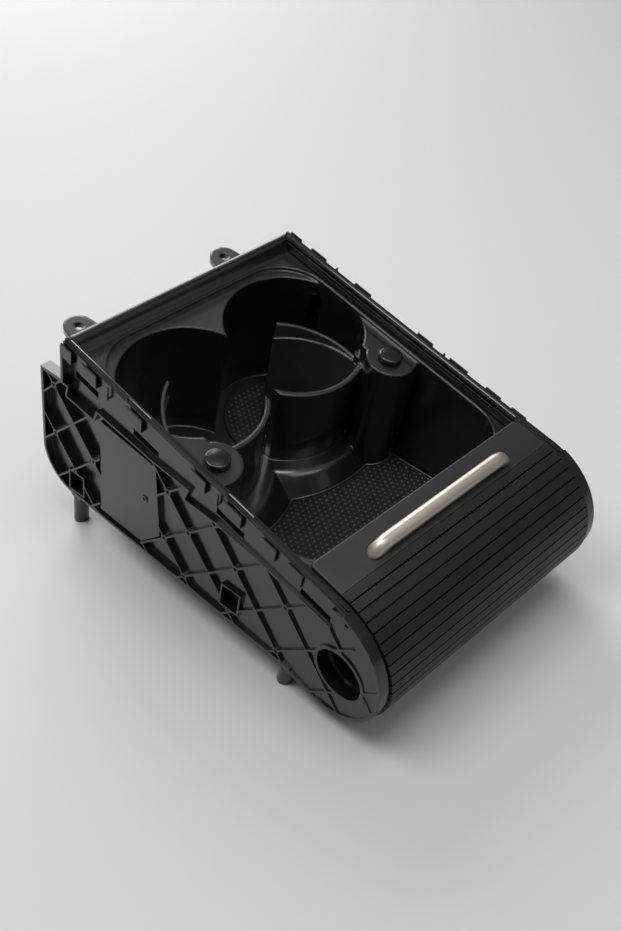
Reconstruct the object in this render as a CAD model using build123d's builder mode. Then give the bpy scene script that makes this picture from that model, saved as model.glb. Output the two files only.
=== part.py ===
from build123d import *

import os
from math import asin, atan2, cos, degrees, hypot, radians, sin, tan

os.makedirs("parts", exist_ok=True)

# Centre console cup holder with a sliding slatted shutter, in millimetres.
# +X is right, -Y is the round front end, +Y is the rear, +Z is up.
# The origin lies midway between the two rear screw lugs, on the face they seat on.

# Levels: depths are measured down from the upper face of the shutter
TOP = 27.7
LUG_THICK = 4.0

# Shutter track: straight top run, half round front, level foot, sloping lower run
ARC_Y = -227.7
ARC_R = 40.5
FOOT_END_Y = -204.5
RUN_ANGLE = 12.2
SLAT_HALF = 75.7
SLAT_THICK = 4.0
SLAT_PITCH = 5.25
SLAT_COUNT = 58
SLAT_GROOVE = 0.9
TONGUE_THICK = 1.1
TONGUE_REACH = 1.9
RUN_CLEAR = 0.3

# Leading panel and its pull handle
PANEL_LENGTH = 21.2
PANEL_LEAD = 1.4
PANEL_EDGE = 1.2
PANEL_CORNER = 3.0
HANDLE_HALF = 51.0
HANDLE_WIDTH = 8.0
HANDLE_HEIGHT = 7.4
HANDLE_SETBACK = 14.4
HANDLE_FINGER_GAP = 2.6
HANDLE_FOOT = 7.5
HANDLE_SHOULDER = 6.0
HANDLE_ROUND = 3.0

# Side frames
SIDE_GAP = 0.5
FRAME_DEPTH = 6.3
RIM_DROP = 1.2
RIM_WALL = 2.0
RIB_WALL = 1.1
WEB_REAR = 1.8
WEB_FRONT = 5.9
TRACK_DEPTH = 4.2
REAR_Y = -5.5
REAR_SHOULDER = 33.0
RAIL_SHOULDER = 28.0
REAR_CORNER_R = 22.0
RAIL_REAR_Y = -24.0
RAIL_FRONT_Y = -234.4
LIP_SET = 1.4
LIP_WALL = 1.6
LEDGE_WALL = 1.2
PAD_SINK = 0.6
NODE_BOSS_R = 2.2
NODE_HOLE_R = 1.1
NODE_HOLE_DEPTH = 3.0
BORE_Y = -241.4
BORE_DEPTH = 43.5
BORE_R = 14.3
BORE_WALL = 1.9
SOCKET_LENGTH = 12.0
SOCKET_STEP = 1.4
HUB_R = 5.0
SOCKET_RIBS = 6
PIN_HOLE_Y = -237.0
PIN_HOLE_DEPTH = 7.0
PIN_HOLE_R = 1.2
PEG_R = 4.5
PEG_SET = 2.0
PEG_NECK = 8.0
FRONT_PEG_Y = -210.0
FRONT_PEG_TIP = 95.0
REAR_PEG_Y = -36.0
REAR_PEG_TIP = 141.0

# Lattice of ribs: places are (y, depth); one crossing and the two steps between crossings
CROSSING = (-97.0, 57.5)
STEP_DOWN = (-17.75, 15.5)
STEP_UP = (-17.5, -23.4)
REAR_SHIFT = (8.8, 3.9)
FRONT_BOSSES = ((0, 0), (0, 1), (1, 0), (1, 1), (2, 0), (2, 2), (3, 3), (4, 2))
REAR_BOSSES = ((-3, -1), (-2, -2), (-1, -1))
LEDGE_REAR = ((-5.5, 34.0), (-30.0, 29.0), (-28.5, 37.5), (-53.0, 35.0), (-55.5, 26.5))
LEDGE_PAD = ((-55.5, 26.5), (-100.0, 22.4), (-129.0, 18.0))
LEDGE_FRONT = ((-129.0, 18.0), (-126.5, 27.5), (-150.0, 22.4), (-180.0, 19.8), (-212.0, 17.6), (-229.0, 17.0))
PAD = ((-58.0, 31.5), (-103.5, 25.5), (-110.5, 76.5), (-96.0, 96.5), (-59.5, 105.0))

# Clip slots in the side frames, (y, depth of the upper edge), and the hooks that snap into them
CLIPS = ((-42.0, 17.0), (-93.5, 15.0), (-158.0, 13.2), (-218.0, 11.2))
CLIP_LENGTH = 20.0
CLIP_HEIGHT = 4.6
HOOK_WALL = 2.0
HOOK_GAP = 0.3
HOOK_SLACK = 4.0
HOOK_REACH = 1.6
HOOK_EDGE = 1.4

# Windows in the rail's lip, and the brackets outside it as (y, length)
RAIL_NOTCHES = (-84.8, -161.0)
NOTCH_LENGTH = 17.2
BRACKETS = ((-29.0, 9.0), (-48.4, 12.3), (-63.6, 1.2), (-85.1, 12.8), (-134.4, 11.5), (-148.8, 1.2),
            (-159.5, 13.2), (-185.0, 10.5), (-203.0, 10.0))
BRACKET_TOP = 1.4
BRACKET_FOOT = 10.0
BRACKET_WALL = 0.9

# Tub
TUB_WALL = 2.2
OPEN_SET = 2.2
OPEN_REAR_Y = -33.0
OPEN_FRONT_Y = -209.0
OPEN_REAR_R = 27.7
OPEN_FRONT_R = 25.7
FLANGE_DEPTH = 9.5
FLANGE_THICK = 2.0
FLANGE_FRONT_Y = -229.0
BEAD_WIDTH = 1.6
BEAD_HEIGHT = 0.5
LEDGE_DEPTH = 11.5
CUP_SET = 36.5
CUP_Y = -77.0
CUP_R = 40.0
CUP_FLOOR = 92.0
FRONT_WALL = 3.0
FRONT_WALL_DEPTH = 24.0
CENTRE_GAP = 7.4
PLINTH_DEPTH = 78.0
PLINTH_STEP = 9.4
PLINTH_SLOPE = 45.0
PLINTH_ROUND = 6.0
FLOOR_CLEAR = 1.0
POST_SET = 8.8
POST_Y = -127.5
POST_R = 14.5
SLOT_Y = -60.0
SLOT_WIDTH = 8.0
SLOT_TOP = 20.0
SLOT_BOTTOM = 60.0
REAR_LIP_DEPTH = 1.0
REAR_LIP_LENGTH = 3.9
REAR_LIP_SAG = 1.0

# Grip flaps: hinged at the post, curved round the cup
HINGE_R = 40.2
HINGE_ANGLE = -49.6
KNUCKLE_R = 3.2
KNUCKLE_CLEAR = 1.2
PIN_R = 1.5
PIN_CLEAR = 0.2
PIN_TOP = 25.5
PIN_HEAD_R = 2.6
PIN_HEAD = 1.2
HINGE_BOSS_R = 3.4
HINGE_BOSS_TOP = 24.0
FLAP_TOP = 24.0
FLAP_ROOT_TOP = 30.5
FLAP_RIDGE = 34.5
FLAP_ROOT_RIDGE = 31.4
FLAP_BOTTOM = 87.0
FLAP_WALL = 1.8
FLAP_STEP = 0.9
FLAP_CHORD = 51.0
FLAP_BEND_R = 47.8
FLAP_LEAN = 116.3
FLAP_END_CLEAR = 1.0
SPRING_TOP = 52.0
SPRING_HEIGHT = 9.0
SPRING_COILS = 4
SPRING_WIRE = 1.1
SPRING_CLEAR = 0.4
SPRING_LEG = 9.0

# Post caps, mats
CAP_SET = 10.4
CAP_R = 6.8
CAP_NECK = 0.7
CAP_ROUND = 1.5
CAP_CROWN = 0.6
CAP_HEIGHT = 4.2
CAP_STUD_R = 3.0
CAP_STUD = 7.0
CAP_STUD_CLEAR = 0.1
MAT_THICK = 1.4
MAT_GAP = 1.0
MAT_SPLIT = 5.0
MAT_INSET = 8.0

# Rear wall with the screw lugs
REAR_WALL_Y = -26.2
REAR_WALL_THICK = 2.4
REAR_WALL_DROP = 0.6
REAR_WALL_FOOT = 111.0
REAR_RIB_DEPTH = 4.0
REAR_RIB_TOP = 8.0
REAR_RIB_FOOT = 105.0
REAR_RIB_SHARES = (-0.87, -0.47, 0.0, 0.47, 0.87)
LUG_SET = 20.4
LUG_R = 8.5
LUG_HOLE_R = 2.7
LUG_ROOT = 26.0

# Leaning square pockets of the side frames, with dowels of the tub and the rear wall in their floors
POCKET_FRONT = (-167.2, 69.2)
POCKET_REAR = (-37.2, 103.8)
POCKET_WIDTH = 12.4
POCKET_HEIGHT = 16.0
POCKET_SLOPE = 16.6
POCKET_FLOOR = 1.3
POCKET_WALL = 1.0
DOWEL_R = 2.0
BOSS_R = 4.6
REAR_BOSS_LENGTH = 14.0

# Screws that hold the rear wall to the tub, from behind
SCREW_X = 20.0
SCREW_DEPTH = 18.0
SCREW_R = 2.0
SCREW_HEAD_R = 3.8
SCREW_HEAD = 2.2
SCREW_BITE = 6.0
SCREW_CLEAR = 0.3
PILOT_CLEAR = 0.05

# Screws that hold the pull handle, from below
GRIP_SCREW_R = 1.5
GRIP_SCREW_HEAD_R = 2.8
GRIP_SCREW_HEAD = 1.4
GRIP_SCREW_BITE = 3.0
GRIP_SCREW_CLEAR = 0.2

# Worked out from the sizes above
CENTRE_Z = TOP - ARC_R
FRAME_IN = SLAT_HALF + SIDE_GAP
FRAME_OUT = FRAME_IN + FRAME_DEPTH
TONGUE_HALF = SLAT_HALF + TONGUE_REACH
FILM_IN = ARC_R - SLAT_THICK
FILM_OUT = FILM_IN + TONGUE_THICK
RIM_R = ARC_R - RIM_DROP
NEUTRAL_R = (FILM_IN + FILM_OUT) / 2
PANEL_FRONT_Y = ARC_Y + PANEL_LEAD
PANEL_REAR_Y = PANEL_FRONT_Y + PANEL_LENGTH
FLANGE_HALF = FRAME_IN - HOOK_GAP
OPEN_HALF = SLAT_HALF - OPEN_SET
CUP_X = OPEN_HALF - CUP_SET
POST_X = OPEN_HALF - POST_SET
POST_BACK = POST_X - POST_R / 2
CAP_X = OPEN_HALF - CAP_SET
LUG_X = OPEN_HALF - LUG_SET
CUP_MAT_R = min(CUP_X - MAT_SPLIT, CUP_R - MAT_INSET)
PLINTH_R = CUP_R + FRONT_WALL + PLINTH_STEP
FLOOR_R = FILM_IN - FLOOR_CLEAR - TUB_WALL
HINGE_X = CUP_X + HINGE_R * cos(radians(HINGE_ANGLE))
HINGE_Y = CUP_Y + HINGE_R * sin(radians(HINGE_ANGLE))
RUN = radians(RUN_ANGLE)
LADDER = tan(radians(RUN_ANGLE / 2))
TALL = 400.0


def down(depth):
    """Height of a level that lies this deep under the shutter's upper face."""
    return TOP - depth


def foot_bend(radius):
    """Where the level foot of a track line turns into the sloping lower run."""
    return (FOOT_END_Y + (ARC_R - radius) * LADDER, CENTRE_Z - radius)


def run_point(radius, length):
    """Point of the lower run, this far along it, for a track line of this radius."""
    y = FOOT_END_Y + length * cos(RUN) + (ARC_R - radius) * sin(RUN)
    z = CENTRE_Z - ARC_R - length * sin(RUN) + (ARC_R - radius) * cos(RUN)
    return (y, z)


def run_depth(radius, y):
    """Height of a lower run line at a given place along the part."""
    bend_y, bend_z = foot_bend(radius)
    return bend_z - (y - bend_y) * tan(RUN)


def track_band(inner, outer, rear_y, run_length):
    """Face of the band between two track lines, from the rear of the top run to the tail."""
    with BuildLine() as edge:
        Line((rear_y, CENTRE_Z + outer), (ARC_Y, CENTRE_Z + outer))
        ThreePointArc((ARC_Y, CENTRE_Z + outer), (ARC_Y - outer, CENTRE_Z), (ARC_Y, CENTRE_Z - outer))
        Polyline((ARC_Y, CENTRE_Z - outer), foot_bend(outer), run_point(outer, run_length),
                 run_point(inner, run_length), foot_bend(inner), (ARC_Y, CENTRE_Z - inner))
        ThreePointArc((ARC_Y, CENTRE_Z - inner), (ARC_Y - inner, CENTRE_Z), (ARC_Y, CENTRE_Z + inner))
        Polyline((ARC_Y, CENTRE_Z + inner), (rear_y, CENTRE_Z + inner), (rear_y, CENTRE_Z + outer))
    make_face(edge.edges())


# Length of the shutter on each stretch of its track, along the film that joins the slats
ARC_LENGTH = NEUTRAL_R * radians(180)
FOOT_LENGTH = foot_bend(NEUTRAL_R)[0] - ARC_Y
CURTAIN_LENGTH = SLAT_COUNT * SLAT_PITCH
TAIL_LENGTH = CURTAIN_LENGTH - PANEL_LEAD - ARC_LENGTH - FOOT_LENGTH
FOOT_TURN = (ARC_R - NEUTRAL_R) * LADDER


def slat_place(run):
    """Place and turn of a slat whose middle lies this far along the film."""
    if run < PANEL_LEAD:
        return (PANEL_FRONT_Y - run, CENTRE_Z + FILM_OUT, 180.0)
    run = run - PANEL_LEAD
    if run < ARC_LENGTH:
        angle = radians(90) + run / NEUTRAL_R
        return (ARC_Y + FILM_OUT * cos(angle), CENTRE_Z + FILM_OUT * sin(angle), degrees(angle) + 90)
    run = run - ARC_LENGTH
    if run < FOOT_LENGTH:
        return (ARC_Y + run, CENTRE_Z - FILM_OUT, 0.0)
    run = run - FOOT_LENGTH
    y, z = run_point(FILM_OUT, run + FOOT_TURN)
    return (y, z, -RUN_ANGLE)


# Slatted curtain: one flexible moulding, slats on a film whose edges run in the track
with BuildPart() as slat_curtain:
    with BuildSketch(Plane.YZ.offset(-TONGUE_HALF)):
        track_band(FILM_IN, FILM_OUT, PANEL_FRONT_Y - RUN_CLEAR, TAIL_LENGTH + FOOT_TURN)
    extrude(amount=2 * TONGUE_HALF)
    slat_height = SLAT_THICK - TONGUE_THICK
    slat_base = SLAT_PITCH - SLAT_GROOVE
    with BuildSketch(Plane.YZ.offset(-SLAT_HALF)):
        for index in range(SLAT_COUNT):
            y, z, turn = slat_place((index + 0.5) * SLAT_PITCH)
            on_arc = turn not in (180.0, 0.0, -RUN_ANGLE)
            spread = slat_height * SLAT_PITCH / NEUTRAL_R / 2 if on_arc else 0.0
            root = SLAT_PITCH * FILM_OUT / NEUTRAL_R - SLAT_GROOVE if on_arc else slat_base
            with Locations(Location((y, z, 0), (0, 0, turn))):
                Polygon((-root / 2, TONGUE_THICK / 2), (root / 2, TONGUE_THICK / 2),
                        (root / 2 + spread, -slat_height), (-root / 2 - spread, -slat_height), align=None)
    extrude(amount=2 * SLAT_HALF)
slat_curtain.part.label = "slat_curtain"
export_step(slat_curtain.part, "parts/slat_curtain.step")


def rear_crossing(i, j):
    """Crossing of the rear field of ribs, as (y, z)."""
    y, z = crossing(i, j)
    return (y + REAR_SHIFT[0], z - REAR_SHIFT[1])


def crossing(i, j):
    """Crossing of the front field of ribs, as (y, z)."""
    y = CROSSING[0] + i * STEP_DOWN[0] + j * STEP_UP[0]
    depth = CROSSING[1] + i * STEP_DOWN[1] + j * STEP_UP[1]
    return (y, down(depth))


def rib_field(place, ups, downs):
    """Two families of crossing ribs, long enough to be trimmed by their field."""
    up_turn = degrees(atan2(-STEP_UP[1], STEP_UP[0]))
    down_turn = degrees(atan2(-STEP_DOWN[1], STEP_DOWN[0]))
    for i in ups:
        with Locations(place(i, 0)):
            Rectangle(TALL, RIB_WALL, rotation=up_turn)
    for j in downs:
        with Locations(place(0, j)):
            Rectangle(TALL, RIB_WALL, rotation=down_turn)


def levels(points):
    """Turns (y, depth) pairs into sketch points."""
    return [(y, down(depth)) for y, depth in points]


def wall_run(points, wall):
    """Walls of one thickness along a run of points, with round joints."""
    for (y0, z0), (y1, z1) in zip(points, points[1:]):
        with Locations(((y0 + y1) / 2, (z0 + z1) / 2)):
            SlotCenterToCenter(hypot(y1 - y0, z1 - z0), wall, rotation=degrees(atan2(z1 - z0, y1 - y0)))


def pocket(centre, grow):
    """Leaning square pocket outline round a screw, as polygon points."""
    y, depth = centre
    half = POCKET_WIDTH / 2 + grow
    tall = POCKET_HEIGHT / 2 + grow
    lean = half * tan(radians(POCKET_SLOPE))
    z = down(depth)
    return [(y + half, z + tall - lean), (y - half, z + tall + lean),
            (y - half, z - tall + lean), (y + half, z - tall - lean)]


def side(offset):
    """Sketch plane square to the side frames, with Y and Z as its axes."""
    return Plane.YZ.offset(offset)


# Outline of a side frame: rail, round front end, sloping lower edge, rear shoulder
with BuildSketch() as frame_face:
    with BuildLine():
        Polyline((ARC_Y, CENTRE_Z - RIM_R), foot_bend(RIM_R), (REAR_Y, run_depth(RIM_R, REAR_Y)),
                 (REAR_Y, down(REAR_SHOULDER)), (RAIL_REAR_Y, down(RAIL_SHOULDER)),
                 (RAIL_REAR_Y, CENTRE_Z + RIM_R), (ARC_Y, CENTRE_Z + RIM_R))
        ThreePointArc((ARC_Y, CENTRE_Z + RIM_R), (ARC_Y - RIM_R, CENTRE_Z), (ARC_Y, CENTRE_Z - RIM_R))
    make_face()
    fillet(frame_face.vertices().group_by(Axis.X)[-1].sort_by(Axis.Y)[0], REAR_CORNER_R)

# Fields that the two lattices of ribs fill
with BuildSketch() as front_field:
    Polygon(*levels([*LEDGE_PAD[1:], *LEDGE_FRONT[1:], (ARC_Y - ARC_R, LEDGE_FRONT[-1][1]),
                     (ARC_Y - ARC_R, TALL), (PAD[3][0], TALL), PAD[3], PAD[2], PAD[1]]), align=None)
with BuildSketch() as rear_field:
    Polygon(*levels([*LEDGE_REAR, PAD[0], PAD[4], (PAD[4][0], TALL), (REAR_Y, TALL)]), align=None)

# The right side frame: a moulded web, thicker to the front, with ribs on its outer side
with BuildPart() as right_side_frame:
    with BuildSketch(side(FRAME_IN)):
        add(frame_face.sketch)
    extrude(amount=FRAME_DEPTH)
    web_lean = degrees(atan2(WEB_FRONT - WEB_REAR, REAR_Y - ARC_Y + ARC_R))
    web_face = Plane((FRAME_IN + WEB_REAR, REAR_Y, 0), x_dir=(0, 0, 1), z_dir=(1, tan(radians(web_lean)), 0))
    split(bisect_by=web_face, keep=Keep.BOTTOM)
    with BuildSketch(side(FRAME_IN)):
        add(frame_face.sketch)
        offset(amount=-RIM_WALL, mode=Mode.SUBTRACT)
        with Locations((RAIL_FRONT_Y, CENTRE_Z + RIM_R)):
            Rectangle(RAIL_REAR_Y - RAIL_FRONT_Y, 2 * RIM_WALL, align=(Align.MIN, Align.CENTER),
                      mode=Mode.SUBTRACT)
    extrude(amount=FRAME_DEPTH)
    with BuildSketch(side(FRAME_IN)):
        rib_field(crossing, range(0, 7), range(-1, 5))
        add(front_field.sketch, mode=Mode.INTERSECT)
        add(frame_face.sketch, mode=Mode.INTERSECT)
    extrude(amount=FRAME_DEPTH)
    with BuildSketch(side(FRAME_IN)):
        rib_field(rear_crossing, range(-3, 1), range(-3, 0))
        add(rear_field.sketch, mode=Mode.INTERSECT)
        add(frame_face.sketch, mode=Mode.INTERSECT)
    extrude(amount=FRAME_DEPTH)
    with BuildSketch(side(FRAME_IN)):
        for run in (LEDGE_REAR, LEDGE_PAD, LEDGE_FRONT):
            wall_run(levels(run), LEDGE_WALL)
        add(frame_face.sketch, mode=Mode.INTERSECT)
    extrude(amount=FRAME_DEPTH)
    with BuildSketch(side(FRAME_IN)):
        Polygon(*levels(PAD), align=None)
    extrude(amount=FRAME_DEPTH - PAD_SINK)
    with BuildSketch(side(FRAME_IN)):
        boss_places = [crossing(*n) for n in FRONT_BOSSES] + [rear_crossing(*n) for n in REAR_BOSSES]
        with Locations(*boss_places):
            Circle(NODE_BOSS_R)
        for centre in (POCKET_FRONT, POCKET_REAR):
            Polygon(*pocket(centre, POCKET_WALL), align=None)
        with Locations((BORE_Y, down(BORE_DEPTH))):
            Circle(BORE_R + BORE_WALL)
        add(frame_face.sketch, mode=Mode.INTERSECT)
    extrude(amount=FRAME_DEPTH)
    with BuildSketch(side(FRAME_IN)):
        track_band(FILM_IN - RUN_CLEAR - RIM_WALL, RIM_R, RAIL_REAR_Y, TAIL_LENGTH + RIM_WALL)
        add(frame_face.sketch, mode=Mode.INTERSECT)
        Polygon((LEDGE_PAD[0][0], CENTRE_Z + RIM_R), *levels([*LEDGE_PAD, *LEDGE_FRONT[1:]]),
                (LEDGE_FRONT[-1][0], CENTRE_Z + RIM_R), align=None)
    extrude(amount=TRACK_DEPTH)
    lip_base = CENTRE_Z + RIM_R - LIP_WALL
    with BuildSketch(Plane.XY.offset(lip_base)):
        with Locations((FRAME_IN + LIP_SET + LIP_WALL / 2, (RAIL_REAR_Y + RAIL_FRONT_Y) / 2)):
            Rectangle(LIP_WALL, RAIL_REAR_Y - RAIL_FRONT_Y)
        with Locations(*[(FRAME_IN + LIP_SET + LIP_WALL / 2, y) for y in RAIL_NOTCHES]):
            Rectangle(LIP_WALL, NOTCH_LENGTH, mode=Mode.SUBTRACT)
    extrude(amount=TOP - lip_base)
    for bracket_y, bracket_length in BRACKETS:
        with BuildSketch(Plane.XZ.offset(-bracket_y)):
            Polygon((FRAME_IN + TRACK_DEPTH / 2, down(BRACKET_FOOT - BRACKET_WALL)),
                    (FRAME_OUT - BRACKET_WALL, down(BRACKET_FOOT - BRACKET_WALL)),
                    (FRAME_OUT - BRACKET_WALL, down(BRACKET_TOP)), (FRAME_OUT, down(BRACKET_TOP)),
                    (FRAME_OUT, down(BRACKET_FOOT)), (FRAME_IN + TRACK_DEPTH / 2, down(BRACKET_FOOT)),
                    align=None)
        extrude(amount=bracket_length / 2, both=True)
    for peg_y, peg_tip in ((FRONT_PEG_Y, FRONT_PEG_TIP), (REAR_PEG_Y, REAR_PEG_TIP)):
        peg_top = run_depth(ARC_R + RUN_CLEAR, peg_y + PEG_R)
        neck_top = run_depth(RIM_R - RIM_WALL, peg_y)
        with BuildSketch(Plane.XY.offset(down(peg_tip))):
            with Locations((FRAME_IN + PEG_SET, peg_y)):
                Circle(PEG_R)
        extrude(amount=peg_top - down(peg_tip))
        with BuildSketch(Plane.XY.offset(peg_top)):
            with Locations((FRAME_IN + FRAME_DEPTH / 2, peg_y)):
                Rectangle(FRAME_DEPTH, PEG_NECK)
        extrude(amount=neck_top - peg_top)
    socket_floor = FRAME_IN - SOCKET_LENGTH
    with BuildSketch(side(socket_floor)):
        with Locations((BORE_Y, down(BORE_DEPTH))):
            Circle(BORE_R + BORE_WALL)
    extrude(amount=SOCKET_LENGTH)
    socket_bores = ((socket_floor + BORE_WALL, BORE_R - SOCKET_STEP), (FRAME_IN - BORE_WALL, BORE_R))
    for socket_start, socket_r in socket_bores:
        with BuildSketch(side(socket_start)):
            with Locations((BORE_Y, down(BORE_DEPTH))):
                Circle(socket_r)
        extrude(amount=TALL, mode=Mode.SUBTRACT)
    with BuildSketch(side(socket_floor)):
        with Locations((BORE_Y, down(BORE_DEPTH))):
            Circle(HUB_R)
            with PolarLocations(0, SOCKET_RIBS):
                Rectangle(BORE_R, RIB_WALL, align=(Align.MIN, Align.CENTER))
    extrude(amount=SOCKET_LENGTH - BORE_WALL - SOCKET_STEP)
    with BuildSketch(side(socket_floor + BORE_WALL)):
        with Locations((BORE_Y, down(BORE_DEPTH))):
            Circle(HUB_R - BORE_WALL)
    extrude(amount=SOCKET_LENGTH, mode=Mode.SUBTRACT)
    with BuildSketch(side(FRAME_IN)):
        track_band(FILM_IN - RUN_CLEAR, FILM_OUT + RUN_CLEAR, REAR_Y, TAIL_LENGTH + RUN_CLEAR + FOOT_TURN)
    extrude(amount=TONGUE_HALF + RUN_CLEAR - FRAME_IN, mode=Mode.SUBTRACT)
    with BuildSketch(side(FRAME_IN)):
        for clip_y, clip_depth in CLIPS:
            with Locations((clip_y, down(clip_depth + CLIP_HEIGHT / 2))):
                Rectangle(CLIP_LENGTH, CLIP_HEIGHT)
        with Locations((PIN_HOLE_Y, down(PIN_HOLE_DEPTH))):
            Circle(PIN_HOLE_R)
    extrude(amount=FRAME_DEPTH, mode=Mode.SUBTRACT)
    with BuildSketch(side(FRAME_OUT)):
        with Locations(*boss_places):
            Circle(NODE_HOLE_R)
    extrude(amount=-NODE_HOLE_DEPTH, mode=Mode.SUBTRACT)
    with BuildSketch(side(FRAME_IN + POCKET_FLOOR)):
        for centre in (POCKET_FRONT, POCKET_REAR):
            Polygon(*pocket(centre, 0.0), align=None)
    extrude(amount=FRAME_DEPTH, mode=Mode.SUBTRACT)
    with BuildSketch(side(FRAME_IN)):
        with Locations(*levels((POCKET_FRONT, POCKET_REAR))):
            Circle(DOWEL_R + PILOT_CLEAR)
    extrude(amount=FRAME_DEPTH, mode=Mode.SUBTRACT)
right_side_frame.part.label = "right_side_frame"
export_step(right_side_frame.part, "parts/right_side_frame.step")

with BuildPart() as left_side_frame:
    mirror(right_side_frame.part, about=Plane.YZ)
left_side_frame.part.label = "left_side_frame"
export_step(left_side_frame.part, "parts/left_side_frame.step")


def twins(x, y):
    """A place and its mirror image across the part's middle."""
    return [(x, y), (-x, y)]


def plan(depth):
    """Level sketch plane, this deep under the shutter's upper face."""
    return Plane.XY.offset(down(depth))


def opening(grow):
    """Plan of the tub's opening, larger by this much all round."""
    with BuildSketch() as face:
        with Locations((0, (OPEN_REAR_Y + OPEN_FRONT_Y) / 2)):
            Rectangle(2 * (OPEN_HALF + grow), OPEN_REAR_Y - OPEN_FRONT_Y + 2 * grow)
        fillet(face.vertices().group_by(Axis.Y)[-1], OPEN_REAR_R + grow)
        fillet(face.vertices().group_by(Axis.Y)[0], OPEN_FRONT_R + grow)
    return face.sketch


def bin_outline(grow):
    """Plan of the bin in front of the cup wells, larger by this much all round."""
    post_back = POST_BACK + grow
    with BuildSketch() as face:
        add(opening(grow))
        with Locations((0, CUP_Y)):
            Rectangle(TALL, TALL, align=(Align.CENTER, Align.MIN), mode=Mode.SUBTRACT)
        with Locations(*twins(CUP_X, CUP_Y)):
            Circle(CUP_R + FRONT_WALL - grow, mode=Mode.SUBTRACT)
        with Locations(*twins(POST_X, POST_Y)):
            Circle(POST_R - grow, mode=Mode.SUBTRACT)
        with Locations((post_back, POST_Y + grow)):
            Rectangle(TALL, TALL, align=(Align.MIN, Align.MIN), mode=Mode.SUBTRACT)
        with Locations((-post_back, POST_Y + grow)):
            Rectangle(TALL, TALL, align=(Align.MAX, Align.MIN), mode=Mode.SUBTRACT)
    return face.sketch


def plinths(grow):
    """Flared feet of the cup wells towards the bin, smaller by this much all round."""
    slope = radians(PLINTH_SLOPE)
    rim = PLINTH_R - grow * tan(slope / 2)
    with BuildPart() as feet:
        with BuildSketch(Plane((CUP_X, CUP_Y, down(PLINTH_DEPTH + grow)), x_dir=(1, 0, 0),
                               z_dir=(0, -1, 0))) as profile:
            Polygon((0, 0), (rim, 0), (rim + ARC_R, -ARC_R * tan(slope)), (0, -ARC_R * tan(slope)),
                    align=None)
            fillet(profile.vertices().group_by(Axis.Y)[-1].sort_by(Axis.X)[-1], PLINTH_ROUND - grow)
        revolve(axis=Axis((CUP_X, CUP_Y, 0), (0, 0, 1)))
        mirror(about=Plane.YZ)
    return feet.part


def bin_well(grow, floor_r):
    """Space of the bin, down to a floor that follows the shutter's lower run."""
    feet = plinths(grow)
    with BuildPart() as well:
        with BuildSketch(plan(LEDGE_DEPTH)):
            add(bin_outline(grow))
        extrude(amount=-CUP_FLOOR)
        add(feet, mode=Mode.SUBTRACT)
        with BuildSketch(side(-TALL / 2)):
            Polygon((ARC_Y, TALL), (ARC_Y, CENTRE_Z - floor_r), foot_bend(floor_r),
                    (0, run_depth(floor_r, 0)), (0, TALL), align=None)
        extrude(amount=TALL, mode=Mode.INTERSECT)
    return well.part


def tub_hollow(grow, top):
    """Space inside the tub up to a level, larger by this much all round."""
    bin_space = bin_well(grow, FLOOR_R + grow)
    with BuildPart() as hollow:
        with BuildSketch(plan(LEDGE_DEPTH + grow)):
            add(opening(grow))
        extrude(amount=top - down(LEDGE_DEPTH + grow))
        with BuildSketch(plan(CUP_FLOOR + grow)):
            with Locations(*twins(CUP_X, CUP_Y)):
                Circle(CUP_R + grow)
            add(opening(grow), mode=Mode.INTERSECT)
        extrude(amount=CUP_FLOOR + grow - LEDGE_DEPTH)
        add(bin_space)
        with BuildSketch(plan(FRONT_WALL_DEPTH + grow)):
            with Locations(*twins(CUP_X, CUP_Y)):
                Circle(CUP_R + FRONT_WALL + grow)
            with Locations((0, CUP_Y)):
                Rectangle(2 * (POST_BACK + grow), TALL, align=(Align.CENTER, Align.MAX), mode=Mode.INTERSECT)
        extrude(amount=FRONT_WALL_DEPTH + grow - LEDGE_DEPTH)
        with BuildSketch(plan(PLINTH_DEPTH + grow)):
            with Locations((0, CUP_Y)):
                Rectangle(CENTRE_GAP + 2 * grow, CUP_R + grow, align=(Align.CENTER, Align.MAX))
        extrude(amount=PLINTH_DEPTH + grow - LEDGE_DEPTH)
    return hollow.part


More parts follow.
